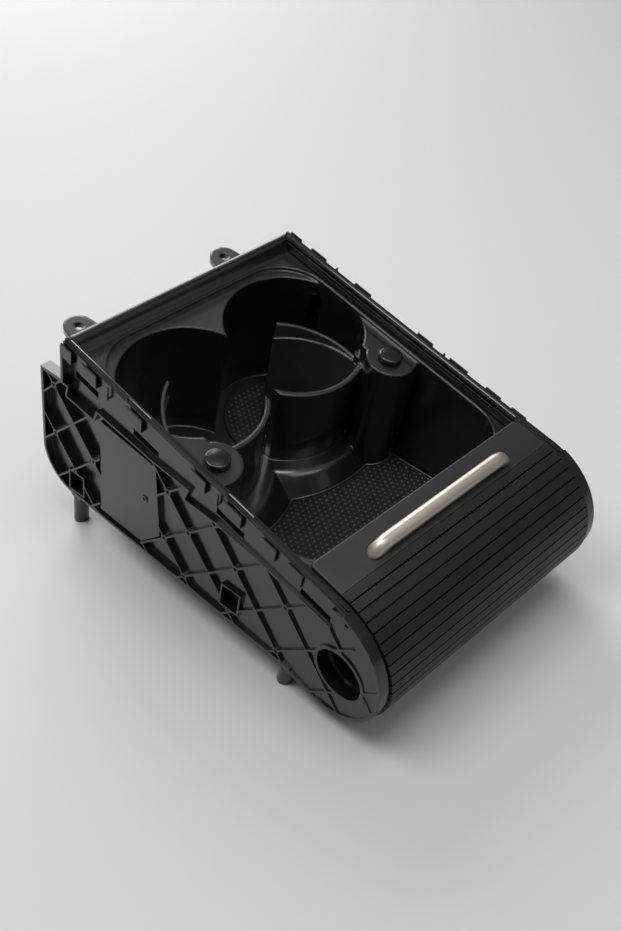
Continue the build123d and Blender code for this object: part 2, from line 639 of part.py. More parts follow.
# The tub: two cup wells and a bin in one moulding, with hinge posts, a flange and clip hooks
tub_outside = tub_hollow(TUB_WALL, down(FLANGE_DEPTH))
tub_inside = tub_hollow(0.0, TOP)
knuckle_pocket_r = KNUCKLE_R + KNUCKLE_CLEAR
pocket_top = FLAP_ROOT_TOP - FLAP_END_CLEAR
pocket_foot = FLAP_BOTTOM + FLAP_END_CLEAR
with BuildPart() as tub:
    add(tub_outside)
    with BuildSketch(plan(FLANGE_DEPTH + FLANGE_THICK)):
        with Locations((0, (REAR_WALL_Y + FLANGE_FRONT_Y) / 2)):
            Rectangle(2 * FLANGE_HALF, REAR_WALL_Y - FLANGE_FRONT_Y)
    extrude(amount=FLANGE_THICK)
    with BuildSketch(plan(FLANGE_DEPTH)):
        add(opening(BEAD_WIDTH))
    extrude(amount=BEAD_HEIGHT)
    lip_start = REAR_WALL_Y - REAR_LIP_LENGTH
    lip_middle = (REAR_WALL_Y - REAR_LIP_LENGTH / 2, down((FLANGE_DEPTH + REAR_LIP_DEPTH) / 2 + REAR_LIP_SAG))
    with BuildSketch(side(-FLANGE_HALF)):
        with BuildLine():
            ThreePointArc((lip_start, down(FLANGE_DEPTH)), lip_middle, (REAR_WALL_Y, down(REAR_LIP_DEPTH)))
            Polyline((REAR_WALL_Y, down(REAR_LIP_DEPTH)), (REAR_WALL_Y, down(FLANGE_DEPTH + FLANGE_THICK)),
                     (lip_start, down(FLANGE_DEPTH + FLANGE_THICK)), (lip_start, down(FLANGE_DEPTH)))
        make_face()
    extrude(amount=2 * FLANGE_HALF)
    for clip_y, clip_depth in CLIPS:
        hook_foot = down(clip_depth + CLIP_HEIGHT - HOOK_GAP)
        with BuildSketch(Plane.XZ.offset(-clip_y)):
            for sign in (1, -1):
                Polygon((sign * (FLANGE_HALF - HOOK_WALL), down(FLANGE_DEPTH + FLANGE_THICK / 2)),
                        (sign * FLANGE_HALF, down(FLANGE_DEPTH + FLANGE_THICK / 2)),
                        (sign * FLANGE_HALF, down(clip_depth)),
                        (sign * (FRAME_IN + HOOK_REACH), down(clip_depth)),
                        (sign * (FRAME_IN + HOOK_REACH), down(clip_depth + HOOK_EDGE)),
                        (sign * FLANGE_HALF, hook_foot),
                        (sign * (FLANGE_HALF - HOOK_WALL), hook_foot), align=None)
        extrude(amount=(CLIP_LENGTH - HOOK_SLACK) / 2, both=True)
    with BuildSketch(plan(CUP_FLOOR + TUB_WALL)):
        with Locations(*twins(HINGE_X, HINGE_Y)):
            Circle(knuckle_pocket_r + TUB_WALL)
    extrude(amount=CUP_FLOOR + TUB_WALL - LEDGE_DEPTH)
    with BuildSketch(side(-FRAME_IN)):
        with Locations(*levels((POCKET_FRONT,))):
            Circle(BOSS_R)
    extrude(amount=2 * FRAME_IN)
    with BuildSketch(side(-FRAME_IN - POCKET_FLOOR)):
        with Locations(*levels((POCKET_FRONT,))):
            Circle(DOWEL_R)
    extrude(amount=2 * (FRAME_IN + POCKET_FLOOR))
    with BuildSketch(Plane.XZ.offset(-REAR_WALL_Y)):
        with Locations(*twins(SCREW_X, down(SCREW_DEPTH))):
            Circle(BOSS_R)
    extrude(amount=REAR_WALL_Y - CUP_Y - CUP_SET)
    add(tub_inside, mode=Mode.SUBTRACT)
    with BuildSketch(plan(pocket_foot)):
        with Locations(*twins(HINGE_X, HINGE_Y)):
            Circle(knuckle_pocket_r)
    extrude(amount=pocket_foot - pocket_top, mode=Mode.SUBTRACT)
    with BuildSketch(plan(pocket_top)):
        with Locations(*twins(HINGE_X, HINGE_Y)):
            Circle(HINGE_BOSS_R)
    extrude(amount=pocket_top - HINGE_BOSS_TOP)
    with BuildSketch(plan(CUP_FLOOR + TUB_WALL)):
        with Locations(*twins(HINGE_X, HINGE_Y)):
            Circle(HINGE_BOSS_R)
    extrude(amount=CUP_FLOOR + TUB_WALL - pocket_foot)
    with BuildSketch(plan(CUP_FLOOR + TUB_WALL)):
        with Locations(*twins(HINGE_X, HINGE_Y)):
            Circle(PIN_R + PILOT_CLEAR)
    extrude(amount=CUP_FLOOR + TUB_WALL - PIN_TOP, mode=Mode.SUBTRACT)
    with BuildSketch(plan(LEDGE_DEPTH)):
        with Locations(*twins(CAP_X, POST_Y)):
            Circle(CAP_STUD_R + CAP_STUD_CLEAR)
    extrude(amount=-CAP_STUD - CAP_STUD_CLEAR, mode=Mode.SUBTRACT)
    for sign in (1, -1):
        with BuildSketch(side(sign * (OPEN_HALF - TUB_WALL))):
            with Locations((SLOT_Y, down((SLOT_TOP + SLOT_BOTTOM) / 2))):
                SlotOverall(SLOT_BOTTOM - SLOT_TOP, SLOT_WIDTH, rotation=90)
        extrude(amount=sign * TALL, mode=Mode.SUBTRACT)
    with BuildSketch(Plane.XZ.offset(-REAR_WALL_Y)):
        with Locations(*twins(SCREW_X, down(SCREW_DEPTH))):
            Circle(SCREW_R + PILOT_CLEAR)
    extrude(amount=SCREW_BITE + SCREW_CLEAR, mode=Mode.SUBTRACT)
tub.part.label = "tub"
export_step(tub.part, "parts/tub.step")

# Rubber mats on the floor of the bin and of the cup wells
mat_space = bin_well(-MAT_GAP, FLOOR_R)
mat_cover = bin_well(0.0, FLOOR_R - MAT_THICK)
with BuildPart() as bin_mat:
    add(mat_space)
    add(mat_cover, mode=Mode.SUBTRACT)
bin_mat.part.label = "bin_mat"
export_step(bin_mat.part, "parts/bin_mat.step")

with BuildPart() as right_cup_mat:
    with BuildSketch(plan(CUP_FLOOR)):
        with Locations((CUP_X, CUP_Y)):
            Circle(CUP_MAT_R)
    extrude(amount=MAT_THICK)
right_cup_mat.part.label = "right_cup_mat"
export_step(right_cup_mat.part, "parts/right_cup_mat.step")

with BuildPart() as left_cup_mat:
    mirror(right_cup_mat.part, about=Plane.YZ)
left_cup_mat.part.label = "left_cup_mat"
export_step(left_cup_mat.part, "parts/left_cup_mat.step")

# Caps over the hinge posts: round buttons with a slightly crowned top
cap_edge = CAP_HEIGHT - CAP_CROWN
with BuildPart() as right_post_cap:
    with BuildSketch(Plane((CAP_X, POST_Y, down(LEDGE_DEPTH)), x_dir=(1, 0, 0), z_dir=(0, -1, 0))):
        with BuildLine():
            Polyline((0, CAP_HEIGHT), (0, -CAP_STUD), (CAP_STUD_R, -CAP_STUD), (CAP_STUD_R, 0),
                     (CAP_R - CAP_NECK, 0), (CAP_R - CAP_NECK, CAP_NECK), (CAP_R, CAP_NECK),
                     (CAP_R, cap_edge - CAP_ROUND))
            RadiusArc((CAP_R, cap_edge - CAP_ROUND), (CAP_R - CAP_ROUND, cap_edge), -CAP_ROUND)
            RadiusArc((CAP_R - CAP_ROUND, cap_edge), (0, CAP_HEIGHT),
                      -((CAP_R - CAP_ROUND) ** 2 + CAP_CROWN ** 2) / (2 * CAP_CROWN))
        make_face()
    revolve(axis=Axis((CAP_X, POST_Y, 0), (0, 0, 1)))
right_post_cap.part.label = "right_post_cap"
export_step(right_post_cap.part, "parts/right_post_cap.step")

with BuildPart() as left_post_cap:
    mirror(right_post_cap.part, about=Plane.YZ)
left_post_cap.part.label = "left_post_cap"
export_step(left_post_cap.part, "parts/left_post_cap.step")

# Rear wall: ribbed plate with two screw lugs, held by the rear screws of the side frames
with BuildPart() as rear_wall:
    with BuildSketch(Plane.XZ.offset(-REAR_WALL_Y)):
        with Locations((0, down((REAR_WALL_DROP + REAR_WALL_FOOT) / 2))):
            Rectangle(2 * FLANGE_HALF, REAR_WALL_FOOT - REAR_WALL_DROP)
    extrude(amount=-REAR_WALL_THICK)
    with BuildSketch(Plane.XZ.offset(-REAR_WALL_Y)):
        with Locations(*[(share * FLANGE_HALF, down((REAR_RIB_TOP + REAR_RIB_FOOT) / 2))
                         for share in REAR_RIB_SHARES]):
            Rectangle(RIB_WALL, REAR_RIB_FOOT - REAR_RIB_TOP)
    extrude(amount=-REAR_WALL_THICK - REAR_RIB_DEPTH)
    for sign in (1, -1):
        with BuildSketch(Plane.XY):
            with Locations((sign * LUG_X, 0)):
                Circle(LUG_R)
            with Locations((sign * LUG_X, REAR_WALL_Y + REAR_WALL_THICK / 2)):
                Rectangle(LUG_ROOT, REAR_WALL_THICK)
            make_hull()
        extrude(amount=LUG_THICK)
    with BuildSketch(Plane.XY):
        with Locations(*twins(LUG_X, 0)):
            Circle(LUG_HOLE_R)
    extrude(amount=LUG_THICK, mode=Mode.SUBTRACT)
    for sign in (1, -1):
        with BuildSketch(side(sign * FRAME_IN)):
            with Locations(*levels((POCKET_REAR,))):
                Circle(BOSS_R)
                Rectangle(REAR_WALL_Y - POCKET_REAR[0], BOSS_R, align=(Align.MIN, Align.CENTER))
        extrude(amount=-sign * REAR_BOSS_LENGTH)
        with BuildSketch(side(sign * FRAME_IN)):
            with Locations(*levels((POCKET_REAR,))):
                Circle(DOWEL_R)
        extrude(amount=sign * POCKET_FLOOR)
    with BuildSketch(Plane.XZ.offset(-REAR_WALL_Y)):
        with Locations(*twins(SCREW_X, down(SCREW_DEPTH))):
            Circle(SCREW_R + SCREW_CLEAR)
    extrude(amount=-REAR_WALL_THICK, mode=Mode.SUBTRACT)
rear_wall.part.label = "rear_wall"
export_step(rear_wall.part, "parts/rear_wall.step")

# Self-tapping screws that hold the rear wall to the tub
head_seat = Plane.XZ.offset(-REAR_WALL_Y - REAR_WALL_THICK)
with BuildPart() as rear_screws:
    with BuildSketch(head_seat):
        with Locations(*twins(SCREW_X, down(SCREW_DEPTH))):
            Circle(SCREW_HEAD_R)
    extrude(amount=-SCREW_HEAD)
    with BuildSketch(head_seat):
        with Locations(*twins(SCREW_X, down(SCREW_DEPTH))):
            Circle(SCREW_R)
    extrude(amount=REAR_WALL_THICK + SCREW_BITE)
    with BuildSketch(head_seat.offset(-SCREW_HEAD)):
        with Locations(*twins(SCREW_X, down(SCREW_DEPTH))):
            Rectangle(SCREW_HEAD_R, SCREW_HEAD_R / 4)
            Rectangle(SCREW_HEAD_R / 4, SCREW_HEAD_R)
    extrude(amount=SCREW_HEAD / 2, mode=Mode.SUBTRACT)
rear_screws.part.label = "rear_screws"
export_step(rear_screws.part, "parts/rear_screws.step")

# Stiff leading panel of the shutter, its edges running in the same track as the slats
handle_y = PANEL_REAR_Y - HANDLE_SETBACK
grip_screw_x = HANDLE_HALF - HANDLE_FOOT / 2
with BuildPart() as shutter_panel:
    with BuildSketch(Plane.XY.offset(down(SLAT_THICK))):
        with Locations((0, (PANEL_FRONT_Y + PANEL_REAR_Y) / 2)):
            Rectangle(2 * SLAT_HALF, PANEL_LENGTH)
    extrude(amount=SLAT_THICK)
    fillet(shutter_panel.edges().filter_by(Axis.Z).group_by(Axis.Y)[-1], PANEL_CORNER)
    fillet(shutter_panel.edges().group_by(Axis.Z)[-1].group_by(Axis.Y)[1:], PANEL_EDGE)
    with BuildSketch(Plane.XY.offset(CENTRE_Z + FILM_IN)):
        with Locations((0, (PANEL_FRONT_Y + PANEL_REAR_Y - PANEL_CORNER) / 2)):
            Rectangle(2 * TONGUE_HALF, PANEL_LENGTH - PANEL_CORNER)
    extrude(amount=TONGUE_THICK)
    with Locations(*[(x, y, down(SLAT_THICK)) for x, y in twins(grip_screw_x, handle_y)]):
        Cone(GRIP_SCREW_HEAD_R + GRIP_SCREW_CLEAR, GRIP_SCREW_R + GRIP_SCREW_CLEAR, GRIP_SCREW_HEAD,
             align=(Align.CENTER, Align.CENTER, Align.MIN), mode=Mode.SUBTRACT)
        Cylinder(GRIP_SCREW_R + GRIP_SCREW_CLEAR, SLAT_THICK, align=(Align.CENTER, Align.CENTER, Align.MIN),
                 mode=Mode.SUBTRACT)
shutter_panel.part.label = "shutter_panel"
export_step(shutter_panel.part, "parts/shutter_panel.step")

# Arched pull handle across the panel
with BuildPart() as pull_handle:
    with BuildSketch(Plane.XZ.offset(-handle_y)):
        with BuildLine():
            Polyline((-HANDLE_HALF, TOP), (-HANDLE_HALF, TOP + HANDLE_FINGER_GAP),
                     (-HANDLE_HALF + HANDLE_SHOULDER, TOP + HANDLE_HEIGHT),
                     (HANDLE_HALF - HANDLE_SHOULDER, TOP + HANDLE_HEIGHT),
                     (HANDLE_HALF, TOP + HANDLE_FINGER_GAP), (HANDLE_HALF, TOP),
                     (HANDLE_HALF - HANDLE_FOOT, TOP),
                     (HANDLE_HALF - HANDLE_FOOT - HANDLE_FINGER_GAP, TOP + HANDLE_FINGER_GAP),
                     (-HANDLE_HALF + HANDLE_FOOT + HANDLE_FINGER_GAP, TOP + HANDLE_FINGER_GAP),
                     (-HANDLE_HALF + HANDLE_FOOT, TOP), close=True)
        make_face()
    extrude(amount=HANDLE_WIDTH / 2, both=True)
    shoulder_edges = pull_handle.edges().filter_by(Axis.Y).group_by(Axis.Z)
    fillet(shoulder_edges[-1], HANDLE_SHOULDER)
    top_rim = [e for e in pull_handle.edges() if e.center().Z > TOP + HANDLE_FINGER_GAP and not e.is_closed
               and abs(abs(e.center().Y - handle_y) - HANDLE_WIDTH / 2) < RUN_CLEAR]
    fillet(top_rim, HANDLE_ROUND)
    with Locations(*[(x, y, TOP) for x, y in twins(grip_screw_x, handle_y)]):
        Cylinder(GRIP_SCREW_R + PILOT_CLEAR, GRIP_SCREW_BITE + GRIP_SCREW_CLEAR,
                 align=(Align.CENTER, Align.CENTER, Align.MIN), mode=Mode.SUBTRACT)
pull_handle.part.label = "pull_handle"
export_step(pull_handle.part, "parts/pull_handle.step")

# Countersunk screws that hold the handle, from below the panel
with BuildPart() as handle_screws:
    with Locations(*[(x, y, down(SLAT_THICK)) for x, y in twins(grip_screw_x, handle_y)]):
        Cone(GRIP_SCREW_HEAD_R, GRIP_SCREW_R, GRIP_SCREW_HEAD, align=(Align.CENTER, Align.CENTER, Align.MIN))
        Cylinder(GRIP_SCREW_R, SLAT_THICK + GRIP_SCREW_BITE, align=(Align.CENTER, Align.CENTER, Align.MIN))
        Box(GRIP_SCREW_HEAD_R, GRIP_SCREW_R / 2, GRIP_SCREW_HEAD / 2,
            align=(Align.CENTER, Align.CENTER, Align.MIN), mode=Mode.SUBTRACT)
handle_screws.part.label = "handle_screws"
export_step(handle_screws.part, "parts/handle_screws.step")

# Sprung grip flaps: a curved plate on two knuckles
flap_turn = radians(FLAP_LEAN)
flap_mid_r = FLAP_BEND_R + FLAP_WALL / 2
flap_reach = (flap_mid_r ** 2 - (FLAP_CHORD / 2) ** 2) ** 0.5
bend_x = HINGE_X + FLAP_CHORD / 2 * cos(flap_turn) - flap_reach * sin(flap_turn)
bend_y = HINGE_Y + FLAP_CHORD / 2 * sin(flap_turn) + flap_reach * cos(flap_turn)
bend_half = asin(FLAP_CHORD / 2 / flap_mid_r)
bend_middle = flap_turn - radians(90)


def flap_point(radius, share):
    """Point on the flap's bend: share -1 at the hinge, 1 at the free end."""
    angle = bend_middle + share * bend_half
    return (bend_x + radius * cos(angle), bend_y + radius * sin(angle))


def flap_plate(inner, outer):
    """Plan of the curved plate between two radii, with a round free end."""
    with BuildLine() as edge:
        ThreePointArc(flap_point(outer, -1), flap_point(outer, 0), flap_point(outer, 1))
        Line(flap_point(outer, 1), flap_point(inner, 1))
        ThreePointArc(flap_point(inner, 1), flap_point(inner, 0), flap_point(inner, -1))
        Line(flap_point(inner, -1), flap_point(outer, -1))
    make_face(edge.edges())
    with Locations(flap_point((inner + outer) / 2, 1)):
        Circle((outer - inner) / 2)


def flap_slope(root, tip):
    """Plane across the flap, from one depth at the hinge to another at the free end."""
    rise = (root - tip) / FLAP_CHORD
    return Plane((HINGE_X, HINGE_Y, down(root)), z_dir=(-rise * cos(flap_turn), -rise * sin(flap_turn), 1))


with BuildPart() as flap_body:
    with BuildSketch(plan(FLAP_BOTTOM)):
        flap_plate(FLAP_BEND_R - FLAP_STEP, FLAP_BEND_R + FLAP_WALL)
    extrude(amount=FLAP_BOTTOM)
    split(bisect_by=flap_slope(FLAP_ROOT_RIDGE, FLAP_RIDGE), keep=Keep.BOTTOM)

with BuildPart() as right_grip_flap:
    with BuildSketch(plan(FLAP_BOTTOM)):
        flap_plate(FLAP_BEND_R, FLAP_BEND_R + FLAP_WALL)
    extrude(amount=FLAP_BOTTOM)
    split(bisect_by=flap_slope(FLAP_ROOT_TOP, FLAP_TOP), keep=Keep.BOTTOM)
    add(flap_body.part)
    with BuildSketch(plan(FLAP_BOTTOM)):
        with Locations((HINGE_X, HINGE_Y)):
            Circle(KNUCKLE_R)
    extrude(amount=FLAP_BOTTOM - FLAP_ROOT_TOP)
    with BuildSketch(plan(SPRING_TOP + SPRING_HEIGHT + SPRING_CLEAR)):
        with Locations((HINGE_X, HINGE_Y)):
            Circle(knuckle_pocket_r)
    extrude(amount=SPRING_HEIGHT + 2 * SPRING_CLEAR, mode=Mode.SUBTRACT)
    with BuildSketch(plan(FLAP_BOTTOM)):
        with Locations((HINGE_X, HINGE_Y)):
            Circle(PIN_R + PIN_CLEAR)
    extrude(amount=FLAP_BOTTOM - FLAP_TOP, mode=Mode.SUBTRACT)
right_grip_flap.part.label = "right_grip_flap"
export_step(right_grip_flap.part, "parts/right_grip_flap.step")

with BuildPart() as left_grip_flap:
    mirror(right_grip_flap.part, about=Plane.YZ)
left_grip_flap.part.label = "left_grip_flap"
export_step(left_grip_flap.part, "parts/left_grip_flap.step")

# Hinge pins, pushed in from below the cup wells
with BuildPart() as right_flap_pin:
    with BuildSketch(plan(CUP_FLOOR + TUB_WALL)):
        with Locations((HINGE_X, HINGE_Y)):
            Circle(PIN_R)
    extrude(amount=CUP_FLOOR + TUB_WALL - PIN_TOP)
    with BuildSketch(plan(CUP_FLOOR + TUB_WALL)):
        with Locations((HINGE_X, HINGE_Y)):
            Circle(PIN_HEAD_R)
    extrude(amount=-PIN_HEAD)
right_flap_pin.part.label = "right_flap_pin"
export_step(right_flap_pin.part, "parts/right_flap_pin.step")

with BuildPart() as left_flap_pin:
    mirror(right_flap_pin.part, about=Plane.YZ)
left_flap_pin.part.label = "left_flap_pin"
export_step(left_flap_pin.part, "parts/left_flap_pin.step")

# Coil springs round the pins: one leg on the tub, one behind the flap
coil_in = PIN_R + SPRING_CLEAR
coil_out = coil_in + SPRING_WIRE
coil_top = SPRING_TOP + SPRING_WIRE
coil_pitch = (SPRING_HEIGHT - 2 * SPRING_WIRE) / SPRING_COILS
coil_edge = [(coil_in, down(coil_top + SPRING_COILS * coil_pitch)), (coil_in, down(coil_top))]
for coil in range(SPRING_COILS):
    coil_edge.append((coil_out - SPRING_WIRE / 2, down(coil_top + coil * coil_pitch)))
    coil_edge.append((coil_out, down(coil_top + (coil + 0.5) * coil_pitch)))
coil_edge.append((coil_out - SPRING_WIRE / 2, down(coil_top + SPRING_COILS * coil_pitch)))
leg_share = -1 + 2 * asin(SPRING_LEG / 2 / flap_mid_r) / bend_half
leg_end = flap_point(FLAP_BEND_R + FLAP_WALL + SPRING_WIRE / 2, leg_share)
leg_run = (leg_end[0] - HINGE_X - coil_in - SPRING_WIRE / 2, leg_end[1] - HINGE_Y)
stop_reach = (knuckle_pocket_r ** 2 - (SPRING_WIRE / 2) ** 2) ** 0.5
with BuildPart() as right_flap_spring:
    with BuildSketch(Plane((HINGE_X, HINGE_Y, 0), x_dir=(1, 0, 0), z_dir=(0, -1, 0))):
        Polygon(*coil_edge, align=None)
    revolve(axis=Axis((HINGE_X, HINGE_Y, 0), (0, 0, 1)))
    with BuildSketch(plan(SPRING_TOP)):
        with Locations((HINGE_X, HINGE_Y)):
            Circle(coil_out)
        with Locations((leg_end[0] - leg_run[0] / 2, leg_end[1] - leg_run[1] / 2)):
            SlotCenterToCenter(hypot(*leg_run), SPRING_WIRE, rotation=degrees(atan2(leg_run[1], leg_run[0])))
        with Locations((HINGE_X, HINGE_Y)):
            Circle(coil_in, mode=Mode.SUBTRACT)
    extrude(amount=-SPRING_WIRE)
    with BuildSketch(plan(SPRING_TOP + SPRING_HEIGHT)):
        with Locations(Location((HINGE_X, HINGE_Y, 0), (0, 0, HINGE_ANGLE))):
            Circle(coil_out)
            Rectangle(stop_reach, SPRING_WIRE, align=(Align.MIN, Align.CENTER))
            Circle(coil_in, mode=Mode.SUBTRACT)
    extrude(amount=SPRING_WIRE)
right_flap_spring.part.label = "right_flap_spring"
export_step(right_flap_spring.part, "parts/right_flap_spring.step")

with BuildPart() as left_flap_spring:
    mirror(right_flap_spring.part, about=Plane.YZ)
left_flap_spring.part.label = "left_flap_spring"
export_step(left_flap_spring.part, "parts/left_flap_spring.step")
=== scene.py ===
from math import atan, ceil, cos, pi, radians, sin, sqrt

import bmesh
import bpy
from mathutils import Matrix, Vector
from mathutils.bvhtree import BVHTree


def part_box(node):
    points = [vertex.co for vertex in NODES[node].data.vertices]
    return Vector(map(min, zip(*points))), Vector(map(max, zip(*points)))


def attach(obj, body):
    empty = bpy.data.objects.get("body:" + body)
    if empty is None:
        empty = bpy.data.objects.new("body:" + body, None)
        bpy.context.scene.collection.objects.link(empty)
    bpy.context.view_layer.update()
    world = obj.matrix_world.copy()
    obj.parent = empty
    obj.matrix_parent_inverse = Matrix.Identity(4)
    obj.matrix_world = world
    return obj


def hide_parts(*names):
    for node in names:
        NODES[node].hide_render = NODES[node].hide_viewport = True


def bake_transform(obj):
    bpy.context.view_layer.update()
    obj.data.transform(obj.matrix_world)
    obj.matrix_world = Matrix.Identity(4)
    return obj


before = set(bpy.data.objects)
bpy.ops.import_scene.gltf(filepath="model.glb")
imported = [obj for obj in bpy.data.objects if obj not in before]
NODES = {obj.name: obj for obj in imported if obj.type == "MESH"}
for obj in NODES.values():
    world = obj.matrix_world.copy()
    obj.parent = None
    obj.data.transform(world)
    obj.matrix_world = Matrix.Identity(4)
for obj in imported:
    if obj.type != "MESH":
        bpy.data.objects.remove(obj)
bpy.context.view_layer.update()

SIDES = ("left", "right")

# Lengths in metres, and the angle in degrees from which an edge stays sharp
FOLD_SINK = 0.0005
JOIN_DISTANCE = 0.000002
CREASE = 28

# Least upward part of the normal of a level face, and steps of the search for a folded row
LEVEL = 0.9
HALVINGS = 40

# Rail beads: rounding as a share of the radius, and faces round each edge
BEAD_ROUNDING = 0.96
BEAD_SEGMENTS = 5

# Lip: inset and rise of each step of its crown, as shares of its width and height
LIP_CROWN = ((0.1, 0.28), (0.16, 0.22))

# Dots: faces round and up the ball, and the share of the height below the mat's face
DOT_SIDES = 8
DOT_RINGS = 6
DOT_FOOT = 0.25

# Handle: start of its tip as a share of the first step, how the steps grow, and how full its curves are
TIP_SHARE = 0.02
END_GROWTH = 1.6
SHOULDER_FULLNESS = 0.8
BELLY_FULLNESS = 0.4
SUBDIVISIONS = 2

# Grain of each moulding: how fine it is, and its depth in metres
FRAME_GRAIN = (700.0, 0.00003)
BEAD_GRAIN = (700.0, 0.00002)
TUB_GRAIN = (1400.0, 0.00004)
CAP_GRAIN = (1800.0, 0.00002)
SLAT_GRAIN = (2200.0, 0.00005)
MAT_GRAIN = (900.0, 0.00006)
DOT_GRAIN = (900.0, 0.00002)

# Gloss, roughness and colour of the finishes that have no setting
PLASTIC_GLOSS = 1.5
FRAME_GLOSS = 1.55
SLAT_GLOSS = 1.42
MAT_GLOSS = 1.4
SKIN_GLOSS = 1.52
SKIN_ROUGHNESS = 0.12
CAP_ROUGHNESS = 0.25
MAT_ROUGHNESS = 0.62
DOT_ROUGHNESS = 0.34
STEEL_ROUGHNESS = 0.4
WIRE_ROUGHNESS = 0.3
DARK_STEEL = (0.22, 0.22, 0.23)
PLAIN_STEEL = (0.3, 0.3, 0.31)
BRIGHT_WIRE = (0.5, 0.5, 0.51)

# Unevenness of the surfaces: the range of a noise that counts, then spreads and how fine they are
NOISE_LOW = 0.3
NOISE_HIGH = 0.7
MOTTLE = (0.15, 60.0)
METAL_MOTTLE = (0.03, 120.0)
MOTTLE_DETAIL = 5.0
GLOSS_WANDER = (0.05, 45.0)
WANDER_DETAIL = 4.0

# Strength and detail of the grain, and samples of the rounded edges
GRAIN_STRENGTH = 0.5
GRAIN_DETAIL = 3.0
ROUNDING_SAMPLES = 4

# Brushed lines of the metals: drawn out along x, with their spread of roughness and their bump
BRUSH_FINENESS = 400.0
BRUSH_DETAIL = 2.0
BRUSH_STRETCH = (0.03, 1.0, 1.0)
BRUSH_SPREAD = 0.03
BRUSH_STRENGTH = 0.05
BRUSH_DEPTH = 0.00002

# Stage in metres, with the sensor in millimetres: peg tips that stand on the floor, lamps and camera
FRONT_TIP = Vector((0, -0.210, -0.0673))
REAR_TIP = Vector((0, -0.036, -0.1133))
FLOOR_GAP = Vector((0, 0, 0.0002))
FLOOR_HALF = 1.6
FLOOR_ROUGHNESS = 0.7
LAMP_TARGET = Vector((0, -0.13, 0))
LAMP_SIZE = 0.6
REAR_LAMP_SIZE = 1.4
CAMERA_PLACE = (-0.32507, -0.37684, 0.44311)
CAMERA_RIGHT = Vector((0.7153, -0.6828, 0.1485))
CAMERA_BACK = Vector((-0.5278, -0.3887, 0.7552))
SENSOR_WIDTH = 36.0
NEAR_CLIP = 0.01

bl_info = {
    "name": "Slatted cup holder finishes",
    "version": (1, 0, 0),
    "blender": (4, 5, 0),
    "location": "View3D > Sidebar > Cup Holder",
    "description": "Dresses the packed cup holder and lights it for a portrait view",
    "category": "Object",
}


# Sizes and colours that a user would change


class CupHolderFinish(bpy.types.PropertyGroup):
    """Colours and surface qualities of the moulded pieces."""

    frame_colour: bpy.props.FloatVectorProperty(
        name="Side frame colour", description="Black of the ribbed side frames and their beads",
        subtype="COLOR", size=3, min=0, max=1, default=(0.006, 0.006, 0.0062))
    frame_roughness: bpy.props.FloatProperty(
        name="Side frame roughness", description="Roughness of the ribbed side frames and their beads",
        subtype="FACTOR", min=0, max=1, default=0.2)
    tub_colour: bpy.props.FloatVectorProperty(
        name="Tub colour", description="Black of the tub, the rear wall and the post caps",
        subtype="COLOR", size=3, min=0, max=1, default=(0.0065, 0.0065, 0.0066))
    tub_roughness: bpy.props.FloatProperty(
        name="Tub roughness", description="Roughness of the tub, the rear wall and the flaps",
        subtype="FACTOR", min=0, max=1, default=0.32)
    # The flaps' black is lighter than the tub's to paint the light that falls on their faces
    flap_colour_painted_light: bpy.props.FloatVectorProperty(
        name="Flap colour", description="Black of the grip flaps, lighter than the tub's as painted light",
        subtype="COLOR", size=3, min=0, max=1, default=(0.03, 0.03, 0.0302))
    tub_sheen: bpy.props.FloatProperty(
        name="Tub sheen",
        description="Weight of the smooth skin of the tub, the flaps, the rail beads and the mat dots",
        subtype="FACTOR", min=0, max=1, default=1.0)
    # The slats' charcoal is darker and the panel's lighter: painted shade on the slats that face the
    # front, painted light on the panel's upward face
    slat_colour_painted_shade: bpy.props.FloatVectorProperty(
        name="Slat colour", description="Charcoal of the slats",
        subtype="COLOR", size=3, min=0, max=1, default=(0.005, 0.005, 0.0052))
    panel_colour_painted_light: bpy.props.FloatVectorProperty(
        name="Panel colour", description="Charcoal of the panel that leads the slats",
        subtype="COLOR", size=3, min=0, max=1, default=(0.008, 0.008, 0.0082))
    slat_roughness: bpy.props.FloatProperty(
        name="Slat roughness", description="Roughness of the slats and the panel",
        subtype="FACTOR", min=0, max=1, default=0.5)
    # The warm tint of the handle's silver paints in a brown reflection
    handle_colour_painted_reflection: bpy.props.FloatVectorProperty(
        name="Handle colour", description="Satin silver of the pull handle, tinted warm as a painted reflection",
        subtype="COLOR", size=3, min=0, max=1, default=(0.56, 0.49, 0.42))
    handle_roughness: bpy.props.FloatProperty(
        name="Handle roughness", description="Roughness of the pull handle",
        subtype="FACTOR", min=0, max=1, default=0.46)
    mat_colour: bpy.props.FloatVectorProperty(
        name="Mat colour", description="Black of the rubber mats",
        subtype="COLOR", size=3, min=0, max=1, default=(0.004, 0.004, 0.004))
    # The dots and the lip are a lighter black than the mat to paint glints on them, on top of their real
    # gloss
    dot_colour_painted_glint: bpy.props.FloatVectorProperty(
        name="Mat dot colour", description="Lighter black of the mats' dots and of the bin mat's lip, as a painted glint",
        subtype="COLOR", size=3, min=0, max=1, default=(0.02, 0.02, 0.02))
    edge_round: bpy.props.FloatProperty(
        name="Moulded edge", description="Radius of the small rounding on moulded edges",
        subtype="DISTANCE", unit="LENGTH", min=0, default=0.00035)
    frame_round: bpy.props.FloatProperty(
        name="Frame edge", description="Radius of the rounding on the edges of the side frames",
        subtype="DISTANCE", unit="LENGTH", min=0, default=0.0005)
    rim_round: bpy.props.FloatProperty(
        name="Rim rounding", description="Radius of the rounding on the rims of the tub and the flaps",
        subtype="DISTANCE", unit="LENGTH", min=0, default=0.0018)


